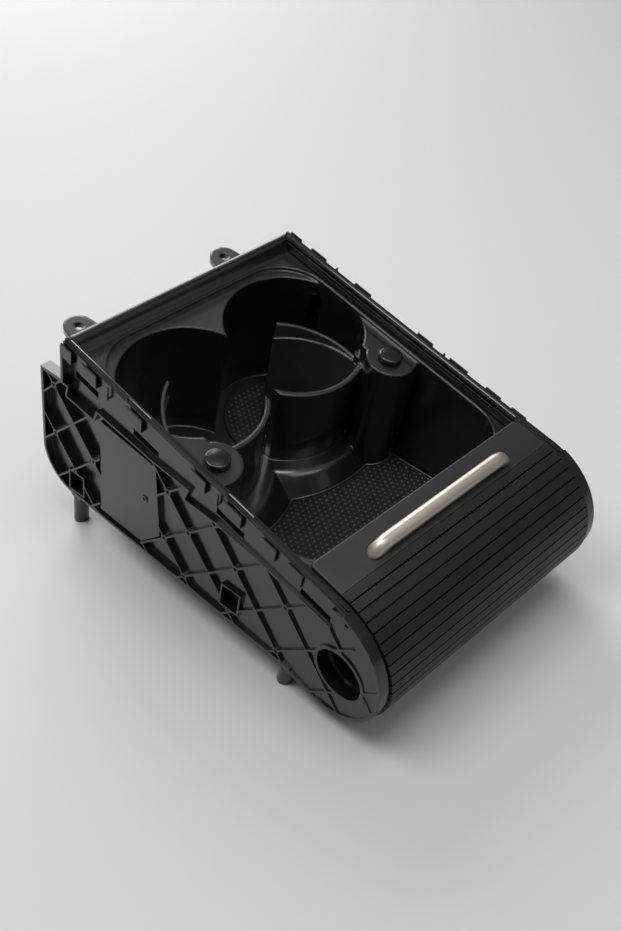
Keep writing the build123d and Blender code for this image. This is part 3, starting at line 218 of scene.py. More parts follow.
class CupHolderRails(bpy.types.PropertyGroup):
    """Beads along the rails of the side frames."""

    bead_radius: bpy.props.FloatProperty(
        name="Bead radius", description="Radius of the rounded bead along each rail",
        subtype="DISTANCE", unit="LENGTH", min=0.0001, default=0.0012)
    bead_inset: bpy.props.FloatProperty(
        name="Bead inset", description="Distance from the frame's outer side to the middle of the bead",
        subtype="DISTANCE", unit="LENGTH", min=0, default=0.0052)
    bead_drop: bpy.props.FloatProperty(
        name="Bead drop", description="How far the bead stays below the top of the frame",
        subtype="DISTANCE", unit="LENGTH", min=0, default=0.0001)


class CupHolderMats(bpy.types.PropertyGroup):
    """Raised dots of the rubber mats and the lip of the bin's mat."""

    dot_pitch: bpy.props.FloatProperty(
        name="Dot pitch", description="Distance between neighbouring dots of a row",
        subtype="DISTANCE", unit="LENGTH", min=0.001, default=0.0036)
    dot_radius: bpy.props.FloatProperty(
        name="Dot radius", description="Radius of a dot at its foot",
        subtype="DISTANCE", unit="LENGTH", min=0.0002, default=0.00085)
    dot_height: bpy.props.FloatProperty(
        name="Dot height", description="How far a dot stands above the mat",
        subtype="DISTANCE", unit="LENGTH", min=0.0001, default=0.0006)
    lip_width: bpy.props.FloatProperty(
        name="Lip width", description="Width of the lip along the outline of the bin's mat",
        subtype="DISTANCE", unit="LENGTH", min=0.0001, default=0.0013)
    lip_height: bpy.props.FloatProperty(
        name="Lip height", description="How far the lip stands above the mat",
        subtype="DISTANCE", unit="LENGTH", min=0.0001, default=0.0012)


class CupHolderShutter(bpy.types.PropertyGroup):
    """Slats that come out behind the panel when the shutter closes."""

    travel: bpy.props.FloatProperty(
        name="Travel", description="How far the panel slides to the rear",
        subtype="DISTANCE", unit="LENGTH", min=0.01, default=0.168)
    slat_pitch: bpy.props.FloatProperty(
        name="Slat pitch", description="Distance between neighbouring slats",
        subtype="DISTANCE", unit="LENGTH", min=0.001, default=0.00525)
    groove_width: bpy.props.FloatProperty(
        name="Groove width", description="Width of the groove between two slats",
        subtype="DISTANCE", unit="LENGTH", min=0.0001, default=0.0009)
    groove_depth: bpy.props.FloatProperty(
        name="Groove depth", description="Depth of the groove between two slats",
        subtype="DISTANCE", unit="LENGTH", min=0.0001, default=0.002)


class CupHolderHandle(bpy.types.PropertyGroup):
    """Form of the polished pull handle inside the box of its solid."""

    section_points: bpy.props.IntProperty(
        name="Section points", description="Points round the section of the bar", min=8, default=20)
    end_steps: bpy.props.IntProperty(
        name="End steps", description="Sections that shape each end of the bar", min=4, default=10)
    end_length: bpy.props.FloatProperty(
        name="End length", description="Length of the shaped stretch at each end",
        subtype="DISTANCE", unit="LENGTH", min=0.001, default=0.014)
    nose_length: bpy.props.FloatProperty(
        name="Nose", description="Length of the rounded nose, seen from above",
        subtype="DISTANCE", unit="LENGTH", min=0.001, default=0.0045)
    shoulder_length: bpy.props.FloatProperty(
        name="Shoulder", description="Length over which the bar comes down to the panel",
        subtype="DISTANCE", unit="LENGTH", min=0.001, default=0.0085)
    foot_length: bpy.props.FloatProperty(
        name="Foot", description="Length of the foot that stands on the panel",
        subtype="DISTANCE", unit="LENGTH", min=0.001, default=0.0075)
    finger_gap: bpy.props.FloatProperty(
        name="Finger gap", description="Room under the bar between its feet",
        subtype="DISTANCE", unit="LENGTH", min=0.0001, default=0.0026)
    waist: bpy.props.FloatProperty(
        name="Waist", description="Share of the section's height at which it is widest",
        subtype="FACTOR", min=0, max=1, default=0.25)


class CupHolderStage(bpy.types.PropertyGroup):
    """Floor, lamps and camera."""

    floor_colour: bpy.props.FloatVectorProperty(
        name="Floor colour", description="Pale colour of the floor",
        subtype="COLOR", size=3, min=0, max=1, default=(0.57, 0.57, 0.56))
    top_power: bpy.props.FloatProperty(
        name="Top power", description="Power of the lamp overhead",
        unit="POWER", min=0, default=5.0)
    left_power: bpy.props.FloatProperty(
        name="Left power", description="Power of the lamp above the rear left",
        unit="POWER", min=0, default=6.0)
    rear_power: bpy.props.FloatProperty(
        name="Rear power", description="Power of the large lamp behind",
        unit="POWER", min=0, default=24.0)
    front_power: bpy.props.FloatProperty(
        name="Front power", description="Power of the weak lamp in front",
        unit="POWER", min=0, default=1.5)
    world_strength: bpy.props.FloatProperty(
        name="Room light", description="Strength of the even light from all sides",
        min=0, default=0.21)
    camera_lens: bpy.props.FloatProperty(
        name="Lens", description="Focal length on a 36 mm sensor",
        unit="CAMERA", min=1, default=43.53)


# Materials


def new_material(name):
    """An empty material with a surface shader, and its node tree."""
    material = bpy.data.materials.new(name)
    material.use_nodes = True
    tree = material.node_tree
    shader = tree.nodes["Principled BSDF"]
    return material, tree, shader


def surface_noise(tree, fineness, detail, stretch=(1, 1, 1)):
    """A noise that is fixed to the piece."""
    coordinates = tree.nodes.new("ShaderNodeTexCoord")
    mapping = tree.nodes.new("ShaderNodeMapping")
    mapping.inputs["Scale"].default_value = stretch
    noise = tree.nodes.new("ShaderNodeTexNoise")
    noise.inputs["Scale"].default_value = fineness
    noise.inputs["Detail"].default_value = detail
    tree.links.new(coordinates.outputs["Object"], mapping.inputs["Vector"])
    tree.links.new(mapping.outputs["Vector"], noise.inputs["Vector"])
    return noise


def add_grain(tree, shader, grain, edge):
    """Fine moulded grain as a bump, over edges with a small moulded rounding."""
    fineness, depth = grain
    rounding = tree.nodes.new("ShaderNodeBevel")
    rounding.samples = ROUNDING_SAMPLES
    rounding.inputs["Radius"].default_value = edge
    noise = surface_noise(tree, fineness, GRAIN_DETAIL)
    bump = tree.nodes.new("ShaderNodeBump")
    bump.inputs["Strength"].default_value = GRAIN_STRENGTH
    bump.inputs["Distance"].default_value = depth
    tree.links.new(rounding.outputs["Normal"], bump.inputs["Normal"])
    tree.links.new(rounding.outputs["Normal"], shader.inputs["Coat Normal"])
    tree.links.new(noise.outputs["Fac"], bump.inputs["Height"])
    tree.links.new(bump.outputs["Normal"], shader.inputs["Normal"])


def spread_roughness(tree, shader, noise, middle, spread):
    """Roughness that follows a noise, and the node that sets its range."""
    span = tree.nodes.new("ShaderNodeMapRange")
    span.inputs["To Min"].default_value = middle - spread
    span.inputs["To Max"].default_value = middle + spread
    tree.links.new(noise.outputs["Fac"], span.inputs["Value"])
    tree.links.new(span.outputs["Result"], shader.inputs["Roughness"])
    return span


def vary_roughness(tree, shader, middle, wander):
    """Roughness that wanders a little over the surface."""
    spread, fineness = wander
    noise = surface_noise(tree, fineness, WANDER_DETAIL)
    span = spread_roughness(tree, shader, noise, middle, spread)
    span.inputs["From Min"].default_value = NOISE_LOW
    span.inputs["From Max"].default_value = NOISE_HIGH


def vary_colour(tree, shader, colour, mottle):
    """Colour that is a little lighter and darker from place to place."""
    spread, fineness = mottle
    noise = surface_noise(tree, fineness, MOTTLE_DETAIL)
    ramp = tree.nodes.new("ShaderNodeValToRGB")
    ramp.color_ramp.elements[0].position = NOISE_LOW
    ramp.color_ramp.elements[1].position = NOISE_HIGH
    ramp.color_ramp.elements[0].color = [c * (1 - spread) for c in colour] + [1]
    ramp.color_ramp.elements[1].color = [c * (1 + spread) for c in colour] + [1]
    tree.links.new(noise.outputs["Fac"], ramp.inputs["Fac"])
    tree.links.new(ramp.outputs["Color"], shader.inputs["Base Color"])


def moulded_plastic(name, colour, roughness, grain, edge, gloss=PLASTIC_GLOSS, sheen=0.0):
    """Moulded black plastic or rubber with a fine grain, uneven gloss and, with sheen, a smooth skin."""
    material, tree, shader = new_material(name)
    shader.inputs["IOR"].default_value = gloss
    shader.inputs["Coat Weight"].default_value = sheen
    shader.inputs["Coat Roughness"].default_value = SKIN_ROUGHNESS
    shader.inputs["Coat IOR"].default_value = SKIN_GLOSS
    vary_colour(tree, shader, colour, MOTTLE)
    vary_roughness(tree, shader, roughness, GLOSS_WANDER)
    add_grain(tree, shader, grain, edge)
    return material


def satin_metal(name, colour, roughness):
    """Satin metal with fine brushed lines from left to right."""
    material, tree, shader = new_material(name)
    shader.inputs["Metallic"].default_value = 1.0
    vary_colour(tree, shader, colour, METAL_MOTTLE)
    noise = surface_noise(tree, BRUSH_FINENESS, BRUSH_DETAIL, BRUSH_STRETCH)
    spread_roughness(tree, shader, noise, roughness, BRUSH_SPREAD)
    bump = tree.nodes.new("ShaderNodeBump")
    bump.inputs["Strength"].default_value = BRUSH_STRENGTH
    bump.inputs["Distance"].default_value = BRUSH_DEPTH
    tree.links.new(noise.outputs["Fac"], bump.inputs["Height"])
    tree.links.new(bump.outputs["Normal"], shader.inputs["Normal"])
    return material


# Shaping helpers


def mesh_group(name):
    """An empty node group that takes a mesh and gives one back, with its two end nodes."""
    group = bpy.data.node_groups.new(name, "GeometryNodeTree")
    group.interface.new_socket("Geometry", in_out="INPUT", socket_type="NodeSocketGeometry")
    group.interface.new_socket("Geometry", in_out="OUTPUT", socket_type="NodeSocketGeometry")
    return group, group.nodes.new("NodeGroupInput"), group.nodes.new("NodeGroupOutput")


def joining_nodes():
    """Node group that joins a CAD mesh's loose triangles and shades it smooth."""
    name = "joined moulding"
    if name in bpy.data.node_groups:
        return bpy.data.node_groups[name]
    group, start, end = mesh_group(name)
    merge = group.nodes.new("GeometryNodeMergeByDistance")
    merge.inputs["Distance"].default_value = JOIN_DISTANCE
    smooth = group.nodes.new("GeometryNodeSetShadeSmooth")
    group.links.new(start.outputs[0], merge.inputs["Geometry"])
    group.links.new(merge.outputs["Geometry"], smooth.inputs["Geometry"])
    group.links.new(smooth.outputs["Geometry"], end.inputs[0])
    return group


def creasing_nodes():
    """Node group that keeps sharp edges as creases in the shading."""
    name = f"creased at {CREASE} degrees"
    if name in bpy.data.node_groups:
        return bpy.data.node_groups[name]
    group, start, end = mesh_group(name)
    angle = group.nodes.new("GeometryNodeInputMeshEdgeAngle")
    limit = group.nodes.new("FunctionNodeCompare")
    limit.data_type = "FLOAT"
    limit.operation = "GREATER_THAN"
    limit.inputs[1].default_value = radians(CREASE)
    crease = group.nodes.new("GeometryNodeSetShadeSmooth")
    crease.domain = "EDGE"
    crease.inputs["Shade Smooth"].default_value = False
    group.links.new(start.outputs[0], crease.inputs["Geometry"])
    group.links.new(angle.outputs["Unsigned Angle"], limit.inputs[0])
    group.links.new(limit.outputs["Result"], crease.inputs["Selection"])
    group.links.new(crease.outputs["Geometry"], end.inputs[0])
    return group


def soften(obj):
    """Joins a CAD node's triangles, shades them smooth and keeps its sharp edges as creases."""
    join = obj.modifiers.new("join", "NODES")
    join.node_group = joining_nodes()
    edges = obj.modifiers.new("crease", "NODES")
    edges.node_group = creasing_nodes()


def dress(node, material):
    """Gives a CAD node one material."""
    obj = NODES[node]
    obj.data.materials.clear()
    obj.data.materials.append(material)
    return obj


def link_mesh(bm, name, material, smooth=True):
    """Turns a bmesh into an object of the scene."""
    mesh = bpy.data.meshes.new(name)
    bm.to_mesh(mesh)
    bm.free()
    for polygon in mesh.polygons:
        polygon.use_smooth = smooth
    mesh.materials.append(material)
    obj = bpy.data.objects.new(name, mesh)
    bpy.context.scene.collection.objects.link(obj)
    return obj


def finish_mesh(bm, name, material, body):
    """Turns a bmesh into a piece that rides on a body."""
    obj = link_mesh(bm, name, material)
    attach(obj, body)
    return obj


def joined_copy(node):
    """A bmesh of a CAD node with its loose triangles joined."""
    bm = bmesh.new()
    bm.from_mesh(NODES[node].data)
    bmesh.ops.transform(bm, matrix=NODES[node].matrix_world, verts=bm.verts[:])
    bmesh.ops.remove_doubles(bm, verts=bm.verts[:], dist=JOIN_DISTANCE)
    return bm


def parts_of_kind(parts, kind):
    """The verts, edges or faces among the results of a bmesh operator."""
    return [part for part in parts if isinstance(part, kind)]


def folded_place(start, end, travel, share):
    """Place at rest of a row that the smooth blend of two bodies carries to a share of the travel."""
    low, high = start, end
    for _ in range(HALVINGS):
        middle = (low + high) / 2
        t = (middle - start) / (end - start)
        reached = middle - start + travel * t * t * (3 - 2 * t)
        if reached < share * (travel + end - start):
            low = middle
        else:
            high = middle
    return (low + high) / 2


def search_tree(node):
    """Search tree over a CAD node's mesh."""
    obj = NODES[node]
    corners = [obj.matrix_world @ vert.co for vert in obj.data.vertices]
    return BVHTree.FromPolygons(corners, [polygon.vertices for polygon in obj.data.polygons])


# One operator for each piece or group of like pieces


class CUPHOLDER_OT_side_frames(bpy.types.Operator):
    """Finish the two ribbed side frames and lay a bead along each rail"""
    bl_idname = "cupholder.side_frames"
    bl_label = "Side frames"

    def execute(self, context):
        look = context.scene.cup_holder_finish
        black = moulded_plastic("side frame black", look.frame_colour, look.frame_roughness, FRAME_GRAIN,
                                look.frame_round, gloss=FRAME_GLOSS)
        skin = moulded_plastic("rail bead black", look.frame_colour, look.frame_roughness, BEAD_GRAIN,
                               look.edge_round, sheen=look.tub_sheen)
        for side in SIDES:
            soften(dress(f"{side}_side_frame", black))
            self.rail_bead(side, context.scene.cup_holder_rails, skin)
        return {"FINISHED"}

    def rail_bead(self, side, rails, skin):
        """Rounded bead along the rail, from the open panel to the rear of the tub."""
        low, high = (Vector(corner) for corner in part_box(f"{side}_side_frame"))
        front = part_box("shutter_panel")[1][1]
        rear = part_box("tub")[1][1]
        across = low.x + rails.bead_inset if side == "left" else high.x - rails.bead_inset
        middle = Vector((across, (front + rear) / 2, high.z - rails.bead_drop - rails.bead_radius))
        size = Matrix.Diagonal((rails.bead_radius * 2, rear - front, rails.bead_radius * 2, 1))
        bm = bmesh.new()
        bmesh.ops.create_cube(bm, size=1.0, matrix=Matrix.Translation(middle) @ size)
        bmesh.ops.bevel(bm, geom=bm.edges[:], offset=rails.bead_radius * BEAD_ROUNDING,
                        affect="EDGES", segments=BEAD_SEGMENTS, profile=0.5, material=-1)
        finish_mesh(bm, f"{side}_rail_bead", skin, "housing")


class CUPHOLDER_OT_tub(bpy.types.Operator):
    """Finish the tub, the rear wall with its screws and the post caps"""
    bl_idname = "cupholder.tub"
    bl_label = "Tub and rear wall"

    def execute(self, context):
        look = context.scene.cup_holder_finish
        black = moulded_plastic("tub black", look.tub_colour, look.tub_roughness, TUB_GRAIN,
                                look.rim_round, sheen=look.tub_sheen)
        for node in ("tub", "rear_wall"):
            soften(dress(node, black))
        gloss = moulded_plastic("cap black", look.tub_colour, CAP_ROUGHNESS, CAP_GRAIN, look.edge_round)
        for side in SIDES:
            soften(dress(f"{side}_post_cap", gloss))
        steel = satin_metal("dark screw steel", DARK_STEEL, STEEL_ROUGHNESS)
        soften(dress("rear_screws", steel))
        return {"FINISHED"}


class CUPHOLDER_OT_shutter(bpy.types.Operator):
    """Finish the slats and the leading panel, and fold in the slats that close the opening"""
    bl_idname = "cupholder.shutter"
    bl_label = "Slatted shutter"

    def execute(self, context):
        look = context.scene.cup_holder_finish
        # Darker charcoal than the panel's: painted shade on the slats
        charcoal = moulded_plastic("slat charcoal", look.slat_colour_painted_shade, look.slat_roughness, SLAT_GRAIN,
                                   look.edge_round, gloss=SLAT_GLOSS)
        soften(dress("slat_curtain", charcoal))
        # Lighter charcoal than the slats': painted light on the panel's upward face
        plain = moulded_plastic("panel charcoal", look.panel_colour_painted_light, look.slat_roughness, SLAT_GRAIN,
                                look.edge_round)
        soften(dress("shutter_panel", plain))
        self.closing_slats(context.scene.cup_holder_shutter, charcoal)
        return {"FINISHED"}

    def closing_slats(self, shutter, charcoal):
        """Slats folded up inside the panel, at rest places from which the panel's slide would spread them
        over the opening.
        """
        low, high = (Vector(corner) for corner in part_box("shutter_panel"))
        points = [vert.co for vert in NODES["slat_curtain"].data.vertices]
        half = min(abs(point.x) for point in points if point.z > high.z - FOLD_SINK) - FOLD_SINK
        start, end = low.y, high.y - FOLD_SINK * 3
        count = ceil((shutter.travel + end - start) / shutter.slat_pitch)
        flank = shutter.groove_width / 2 / shutter.slat_pitch
        steps = (0.0, flank, flank * 2, 1.0 - flank)
        bm = bmesh.new()
        bmesh.ops.create_grid(bm, x_segments=1, y_segments=len(steps) * count, size=0.5)
        rows = sorted({round(vert.co.y, 6) for vert in bm.verts})
        for vert in bm.verts:
            slat, step = divmod(rows.index(round(vert.co.y, 6)), len(steps))
            share = (slat + steps[step]) / count
            sunk = shutter.groove_depth if step == 1 else 0.0
            vert.co = Vector((vert.co.x * 2 * half, folded_place(start, end, shutter.travel, share),
                              high.z - FOLD_SINK - sunk))
        bmesh.ops.solidify(bm, geom=bm.faces[:], thickness=FOLD_SINK * 2)
        bmesh.ops.recalc_face_normals(bm, faces=bm.faces[:])
        obj = link_mesh(bm, "closing_slats", charcoal, smooth=False)
        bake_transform(obj)


class CUPHOLDER_OT_handle(bpy.types.Operator):
    """Finish the pull handle and its screws"""
    bl_idname = "cupholder.handle"
    bl_label = "Pull handle"

    def execute(self, context):
        look = context.scene.cup_holder_finish
        # Warm tinted silver: a painted brown reflection
        silver = satin_metal("handle silver", look.handle_colour_painted_reflection, look.handle_roughness)
        self.polished_bar(context.scene.cup_holder_handle, silver)
        steel = satin_metal("handle screw steel", PLAIN_STEEL, STEEL_ROUGHNESS)
        soften(dress("handle_screws", steel))
        return {"FINISHED"}

    def polished_bar(self, bar, silver):
        """Bar with a domed section that comes down to the panel at both ends."""
        low, high = (Vector(corner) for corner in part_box("pull_handle"))
        bm = bmesh.new()
        ring = bmesh.ops.create_circle(bm, segments=bar.section_points, radius=1.0)["verts"]
        angles = [2 * pi * index / len(ring) for index in range(len(ring))]
        edges = bm.edges[:]
        shares = [(step + 1) / bar.end_steps for step in range(bar.end_steps)]
        steps = [bar.end_length * share ** END_GROWTH for share in shares]
        tip = TIP_SHARE * steps[0]
        length = high.x - low.x
        for place in [tip] + steps + [length - step for step in reversed(steps)] + [length]:
            end_gap = max(min(place, length - place), tip)
            for vert, angle in zip(ring, angles):
                vert.co = self.section_point(bar, low, high, end_gap, angle)
                vert.co.x = low.x + place
            if place < length:
                grown = bmesh.ops.extrude_edge_only(bm, edges=edges)["geom"]
                ring = self.next_ring(grown, ring)
                edges = [edge for edge in parts_of_kind(grown, bmesh.types.BMEdge)
                         if all(vert in ring for vert in edge.verts)]
        bmesh.ops.holes_fill(bm, edges=[edge for edge in bm.edges if edge.is_boundary])
        bmesh.ops.recalc_face_normals(bm, faces=bm.faces[:])
        obj = finish_mesh(bm, "polished_handle", silver, "shutter")
        smooth = obj.modifiers.new("smooth", "SUBSURF")
        smooth.levels = SUBDIVISIONS
        smooth.render_levels = SUBDIVISIONS
        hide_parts("pull_handle")

    def next_ring(self, grown, ring):
        """The extruded verts in the order of the ring they grew from."""
        fresh = parts_of_kind(grown, bmesh.types.BMVert)
        return [min(fresh, key=lambda vert: (vert.co - old.co).length) for old in ring]

    def section_point(self, bar, low, high, end_gap, angle):
        """Point of the section at a distance from the nearer end of the bar."""
        nose = min(end_gap / bar.nose_length, 1.0)
        half_width = (high.y - low.y) / 2 * sqrt(1 - (1 - nose) ** 2)
        rise = min(end_gap / bar.shoulder_length, 1.0)
        top = low.z + (high.z - low.z) * sin(pi / 2 * rise) ** SHOULDER_FULLNESS
        lift = min(max((end_gap - bar.foot_length) / bar.finger_gap, 0.0), 1.0)
        under = low.z + bar.finger_gap * lift * lift * (3 - 2 * lift)
        level = sin(angle)
        if level > 0:
            share = bar.waist + (1 - bar.waist) * level
        else:
            share = bar.waist * (1 - abs(level) ** BELLY_FULLNESS)
        across = (low.y + high.y) / 2 + half_width * cos(angle)
        return Vector((0, across, under + (top - under) * share))


class CUPHOLDER_OT_mats(bpy.types.Operator):
    """Finish the rubber mats, and raise their dots and the lip of the bin's mat"""
    bl_idname = "cupholder.mats"
    bl_label = "Rubber mats"

    def execute(self, context):
        look = context.scene.cup_holder_finish
        mats = context.scene.cup_holder_mats
        rubber = moulded_plastic("mat rubber", look.mat_colour, MAT_ROUGHNESS, MAT_GRAIN,
                                 look.edge_round, gloss=MAT_GLOSS)
        # Lighter black than the mat's: painted glints on the dots and the lip, over their gloss and
        # smooth skin
        polished = moulded_plastic("mat dot rubber", look.dot_colour_painted_glint, DOT_ROUGHNESS, DOT_GRAIN,
                                   look.edge_round, sheen=look.tub_sheen)
        for node in ("bin_mat", "left_cup_mat", "right_cup_mat"):
            soften(dress(node, rubber))
            self.raise_dots(node, mats, polished)
        self.raise_lip("bin_mat", mats, polished)
        return {"FINISHED"}

    def raise_lip(self, node, mats, rubber):
        """Low rounded lip along the outline of a mat."""
        bm = joined_copy(node)
        steep = [face for face in bm.faces if face.normal.z < LEVEL]
        bmesh.ops.delete(bm, geom=steep, context="FACES")
        bmesh.ops.inset_region(bm, faces=bm.faces[:], thickness=mats.lip_width, use_even_offset=True,
                               use_boundary=True)
        outline = {vert for edge in bm.edges if edge.is_boundary for vert in edge.verts}
        inner = [face for face in bm.faces if not outline.intersection(face.verts)]
        bmesh.ops.delete(bm, geom=inner, context="FACES")
        raised = bmesh.ops.extrude_face_region(bm, geom=bm.faces[:])["geom"]
        tops = parts_of_kind(raised, bmesh.types.BMVert)
        crown = parts_of_kind(raised, bmesh.types.BMFace)
        bmesh.ops.translate(bm, verts=tops, vec=(0, 0, mats.lip_height / 2))
        bmesh.ops.recalc_face_normals(bm, faces=bm.faces[:])
        for width_share, height_share in LIP_CROWN:
            bmesh.ops.inset_region(bm, faces=crown, thickness=mats.lip_width * width_share,
                                   depth=mats.lip_height * height_share)
        finish_mesh(bm, node + "_lip", rubber, "housing")

    def raise_dots(self, node, mats, rubber):
        """Low round dots in staggered rows over a mat."""
        low, high = (Vector(corner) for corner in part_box(node))
        face = search_tree(node)
        middle = (low + high) / 2
        row_step = mats.dot_pitch * sqrt(3) / 2
        rows = ceil((high.y - low.y) / row_step / 2)
        columns = ceil((high.x - low.x) / mats.dot_pitch / 2) + 1
        above = high.z + mats.dot_pitch
        dot = self.one_dot(mats)
        bm = bmesh.new()
        for row in range(-rows, rows + 1):
            for column in range(-columns, columns + 1):
                x = middle.x + (column + row % 2 / 2) * mats.dot_pitch
                y = middle.y + row * row_step
                place = self.seat(face, x, y, above, mats.dot_radius + mats.lip_width)
                if place:
                    dot.transform(place)
                    bm.from_mesh(dot)
                    dot.transform(place.inverted())
        bpy.data.meshes.remove(dot)
        finish_mesh(bm, node + "_dots", rubber, "housing")

    def one_dot(self, mats):
        """The upper part of a flattened ball."""
        bm = bmesh.new()
        size = Matrix.Diagonal((mats.dot_radius, mats.dot_radius, mats.dot_height, 1))
        bmesh.ops.create_uvsphere(bm, u_segments=DOT_SIDES, v_segments=DOT_RINGS, radius=1.0, matrix=size)
        low = [vert for vert in bm.verts if vert.co.z < -mats.dot_height * DOT_FOOT]
        bmesh.ops.delete(bm, geom=low, context="VERTS")
        dot = bpy.data.meshes.new("dot")
        bm.to_mesh(dot)
        bm.free()
        return dot

    def seat(self, face, x, y, above, margin):
        """Matrix of a dot's seat on the mat, or None off its edge or on a steep side."""
        down = Vector((0, 0, -1))
        for dx, dy in ((margin, 0), (-margin, 0), (0, margin), (0, -margin)):
            if face.ray_cast(Vector((x + dx, y + dy, above)), down)[0] is None:
                return None
        spot, normal, _, _ = face.ray_cast(Vector((x, y, above)), down)
        if spot is None or normal.z < LEVEL:
            return None
        return Matrix.Translation(spot) @ normal.to_track_quat("Z", "Y").to_matrix().to_4x4()


class CUPHOLDER_OT_flaps(bpy.types.Operator):
    """Finish the sprung grip flaps, their pins and springs"""
    bl_idname = "cupholder.flaps"
    bl_label = "Grip flaps"

    def execute(self, context):
        look = context.scene.cup_holder_finish
        # A lighter black than the tub's: painted light on the flaps' faces
        black = moulded_plastic("flap black", look.flap_colour_painted_light, look.tub_roughness, TUB_GRAIN,
                                look.rim_round, sheen=look.tub_sheen)
        wire = satin_metal("spring wire", BRIGHT_WIRE, WIRE_ROUGHNESS)
        for side in SIDES:
            soften(dress(f"{side}_grip_flap", black))
            soften(dress(f"{side}_flap_pin", wire))
            self.twisting_spring(side, wire)
        return {"FINISHED"}

    def twisting_spring(self, side, wire):
        """Copy of a flap's spring with its triangles joined and its sharp edges creased, in place of the
        CAD node.
        """
        node = f"{side}_flap_spring"
        bm = joined_copy(node)
        for edge in bm.edges:
            edge.smooth = edge.calc_face_angle(0) < radians(CREASE)
        obj = link_mesh(bm, f"{side}_twisting_spring", wire)
        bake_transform(obj)
        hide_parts(node)


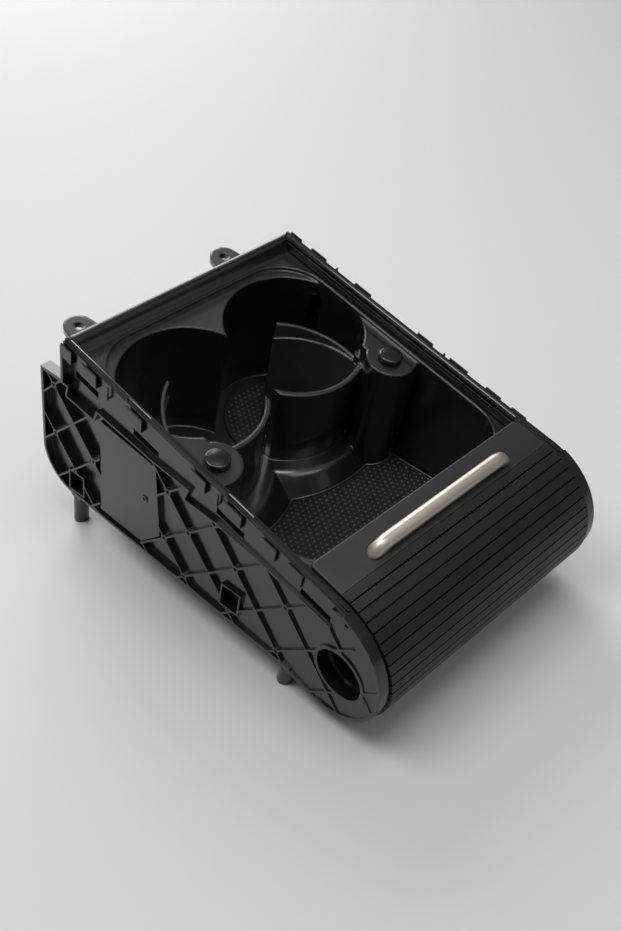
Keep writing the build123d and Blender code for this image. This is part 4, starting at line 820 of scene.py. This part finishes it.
class CUPHOLDER_OT_stage(bpy.types.Operator):
    """Lay the floor, hang the lamps and set the camera"""
    bl_idname = "cupholder.stage"
    bl_label = "Stage"

    def execute(self, context):
        stage = context.scene.cup_holder_stage
        context.scene.view_settings.view_transform = "Standard"
        self.lay_floor(stage)
        self.light_room(context, stage)
        self.set_camera(context, stage)
        return {"FINISHED"}

    def lay_floor(self, stage):
        """A sloping floor under the four peg tips, clear when seen from below."""
        slope = atan((REAR_TIP.z - FRONT_TIP.z) / (REAR_TIP.y - FRONT_TIP.y))
        middle = (FRONT_TIP + REAR_TIP) / 2 - FLOOR_GAP
        bm = bmesh.new()
        bmesh.ops.create_grid(bm, x_segments=1, y_segments=1, size=FLOOR_HALF)
        place = Matrix.Translation(middle) @ Matrix.Rotation(slope, 4, "X")
        bmesh.ops.transform(bm, matrix=place, verts=bm.verts)
        material, tree, shader = new_material("pale floor")
        shader.inputs["Base Color"].default_value = (*stage.floor_colour, 1)
        shader.inputs["Roughness"].default_value = FLOOR_ROUGHNESS
        geometry = tree.nodes.new("ShaderNodeNewGeometry")
        clear = tree.nodes.new("ShaderNodeBsdfTransparent")
        mix = tree.nodes.new("ShaderNodeMixShader")
        tree.links.new(geometry.outputs["Backfacing"], mix.inputs["Fac"])
        tree.links.new(shader.outputs["BSDF"], mix.inputs[1])
        tree.links.new(clear.outputs["BSDF"], mix.inputs[2])
        tree.links.new(mix.outputs["Shader"], tree.nodes["Material Output"].inputs["Surface"])
        link_mesh(bm, "floor", material, smooth=False)

    def light_room(self, context, stage):
        """Lamps overhead, at the left and weakly in front, a large one behind, and an even room."""
        world = bpy.data.worlds.new("room")
        world.use_nodes = True
        context.scene.world = world
        background = world.node_tree.nodes["Background"]
        background.inputs["Color"].default_value = (1, 1, 1, 1)
        background.inputs["Strength"].default_value = stage.world_strength
        for name, place, size, power in (
                ("top lamp", (0.0, -0.1, 1.2), LAMP_SIZE, stage.top_power),
                ("left lamp", (-0.45, 0.35, 1.0), LAMP_SIZE, stage.left_power),
                ("front lamp", (0.1, -0.8, 1.0), LAMP_SIZE, stage.front_power),
                ("rear lamp", (0.7, 1.5, 0.55), REAR_LAMP_SIZE, stage.rear_power)):
            lamp = bpy.data.lights.new(name, "AREA")
            lamp.shape = "DISK"
            lamp.size = size
            lamp.energy = power
            obj = bpy.data.objects.new(name, lamp)
            obj.location = place
            obj.rotation_euler = (LAMP_TARGET - Vector(place)).to_track_quat("-Z", "Y").to_euler()
            context.scene.collection.objects.link(obj)

    def set_camera(self, context, stage):
        """The portrait view, from the front left and above."""
        back = CAMERA_BACK.normalized()
        right = (CAMERA_RIGHT - back * CAMERA_RIGHT.dot(back)).normalized()
        up = back.cross(right)
        turn = Matrix((right, up, back)).transposed().to_4x4()
        camera = bpy.data.cameras.new("portrait camera")
        camera.lens = stage.camera_lens
        camera.sensor_width = SENSOR_WIDTH
        camera.clip_start = NEAR_CLIP
        obj = bpy.data.objects.new("portrait camera", camera)
        obj.matrix_world = Matrix.Translation(CAMERA_PLACE) @ turn
        context.scene.collection.objects.link(obj)
        context.scene.camera = obj


class CUPHOLDER_PT_panel(bpy.types.Panel):
    """The pieces of the cup holder, in the order they are made"""
    bl_idname = "CUPHOLDER_PT_panel"
    bl_label = "Cup Holder"
    bl_space_type = "VIEW_3D"
    bl_region_type = "UI"
    bl_category = "Cup Holder"

    def draw(self, context):
        for operator in OPERATORS:
            self.layout.operator(operator.bl_idname)


SETTINGS = {
    "cup_holder_finish": CupHolderFinish,
    "cup_holder_rails": CupHolderRails,
    "cup_holder_mats": CupHolderMats,
    "cup_holder_shutter": CupHolderShutter,
    "cup_holder_handle": CupHolderHandle,
    "cup_holder_stage": CupHolderStage,
}
OPERATORS = (
    CUPHOLDER_OT_side_frames, CUPHOLDER_OT_tub, CUPHOLDER_OT_shutter, CUPHOLDER_OT_handle,
    CUPHOLDER_OT_mats, CUPHOLDER_OT_flaps, CUPHOLDER_OT_stage,
)
CLASSES = (*SETTINGS.values(), *OPERATORS, CUPHOLDER_PT_panel)


def register():
    """Makes the settings, the operators and the panel known to Blender."""
    for cls in CLASSES:
        bpy.utils.register_class(cls)
    for name, group in SETTINGS.items():
        setattr(bpy.types.Scene, name, bpy.props.PointerProperty(type=group))


def unregister():
    """Takes the settings, the operators and the panel out again."""
    for name in reversed(SETTINGS):
        delattr(bpy.types.Scene, name)
    for cls in reversed(CLASSES):
        bpy.utils.unregister_class(cls)


def main():
    """Dresses the cup holder."""
    register()
    bpy.ops.cupholder.side_frames()
    bpy.ops.cupholder.tub()
    bpy.ops.cupholder.shutter()
    bpy.ops.cupholder.handle()
    bpy.ops.cupholder.mats()
    bpy.ops.cupholder.flaps()
    bpy.ops.cupholder.stage()


if __name__ == "__main__":
    main()
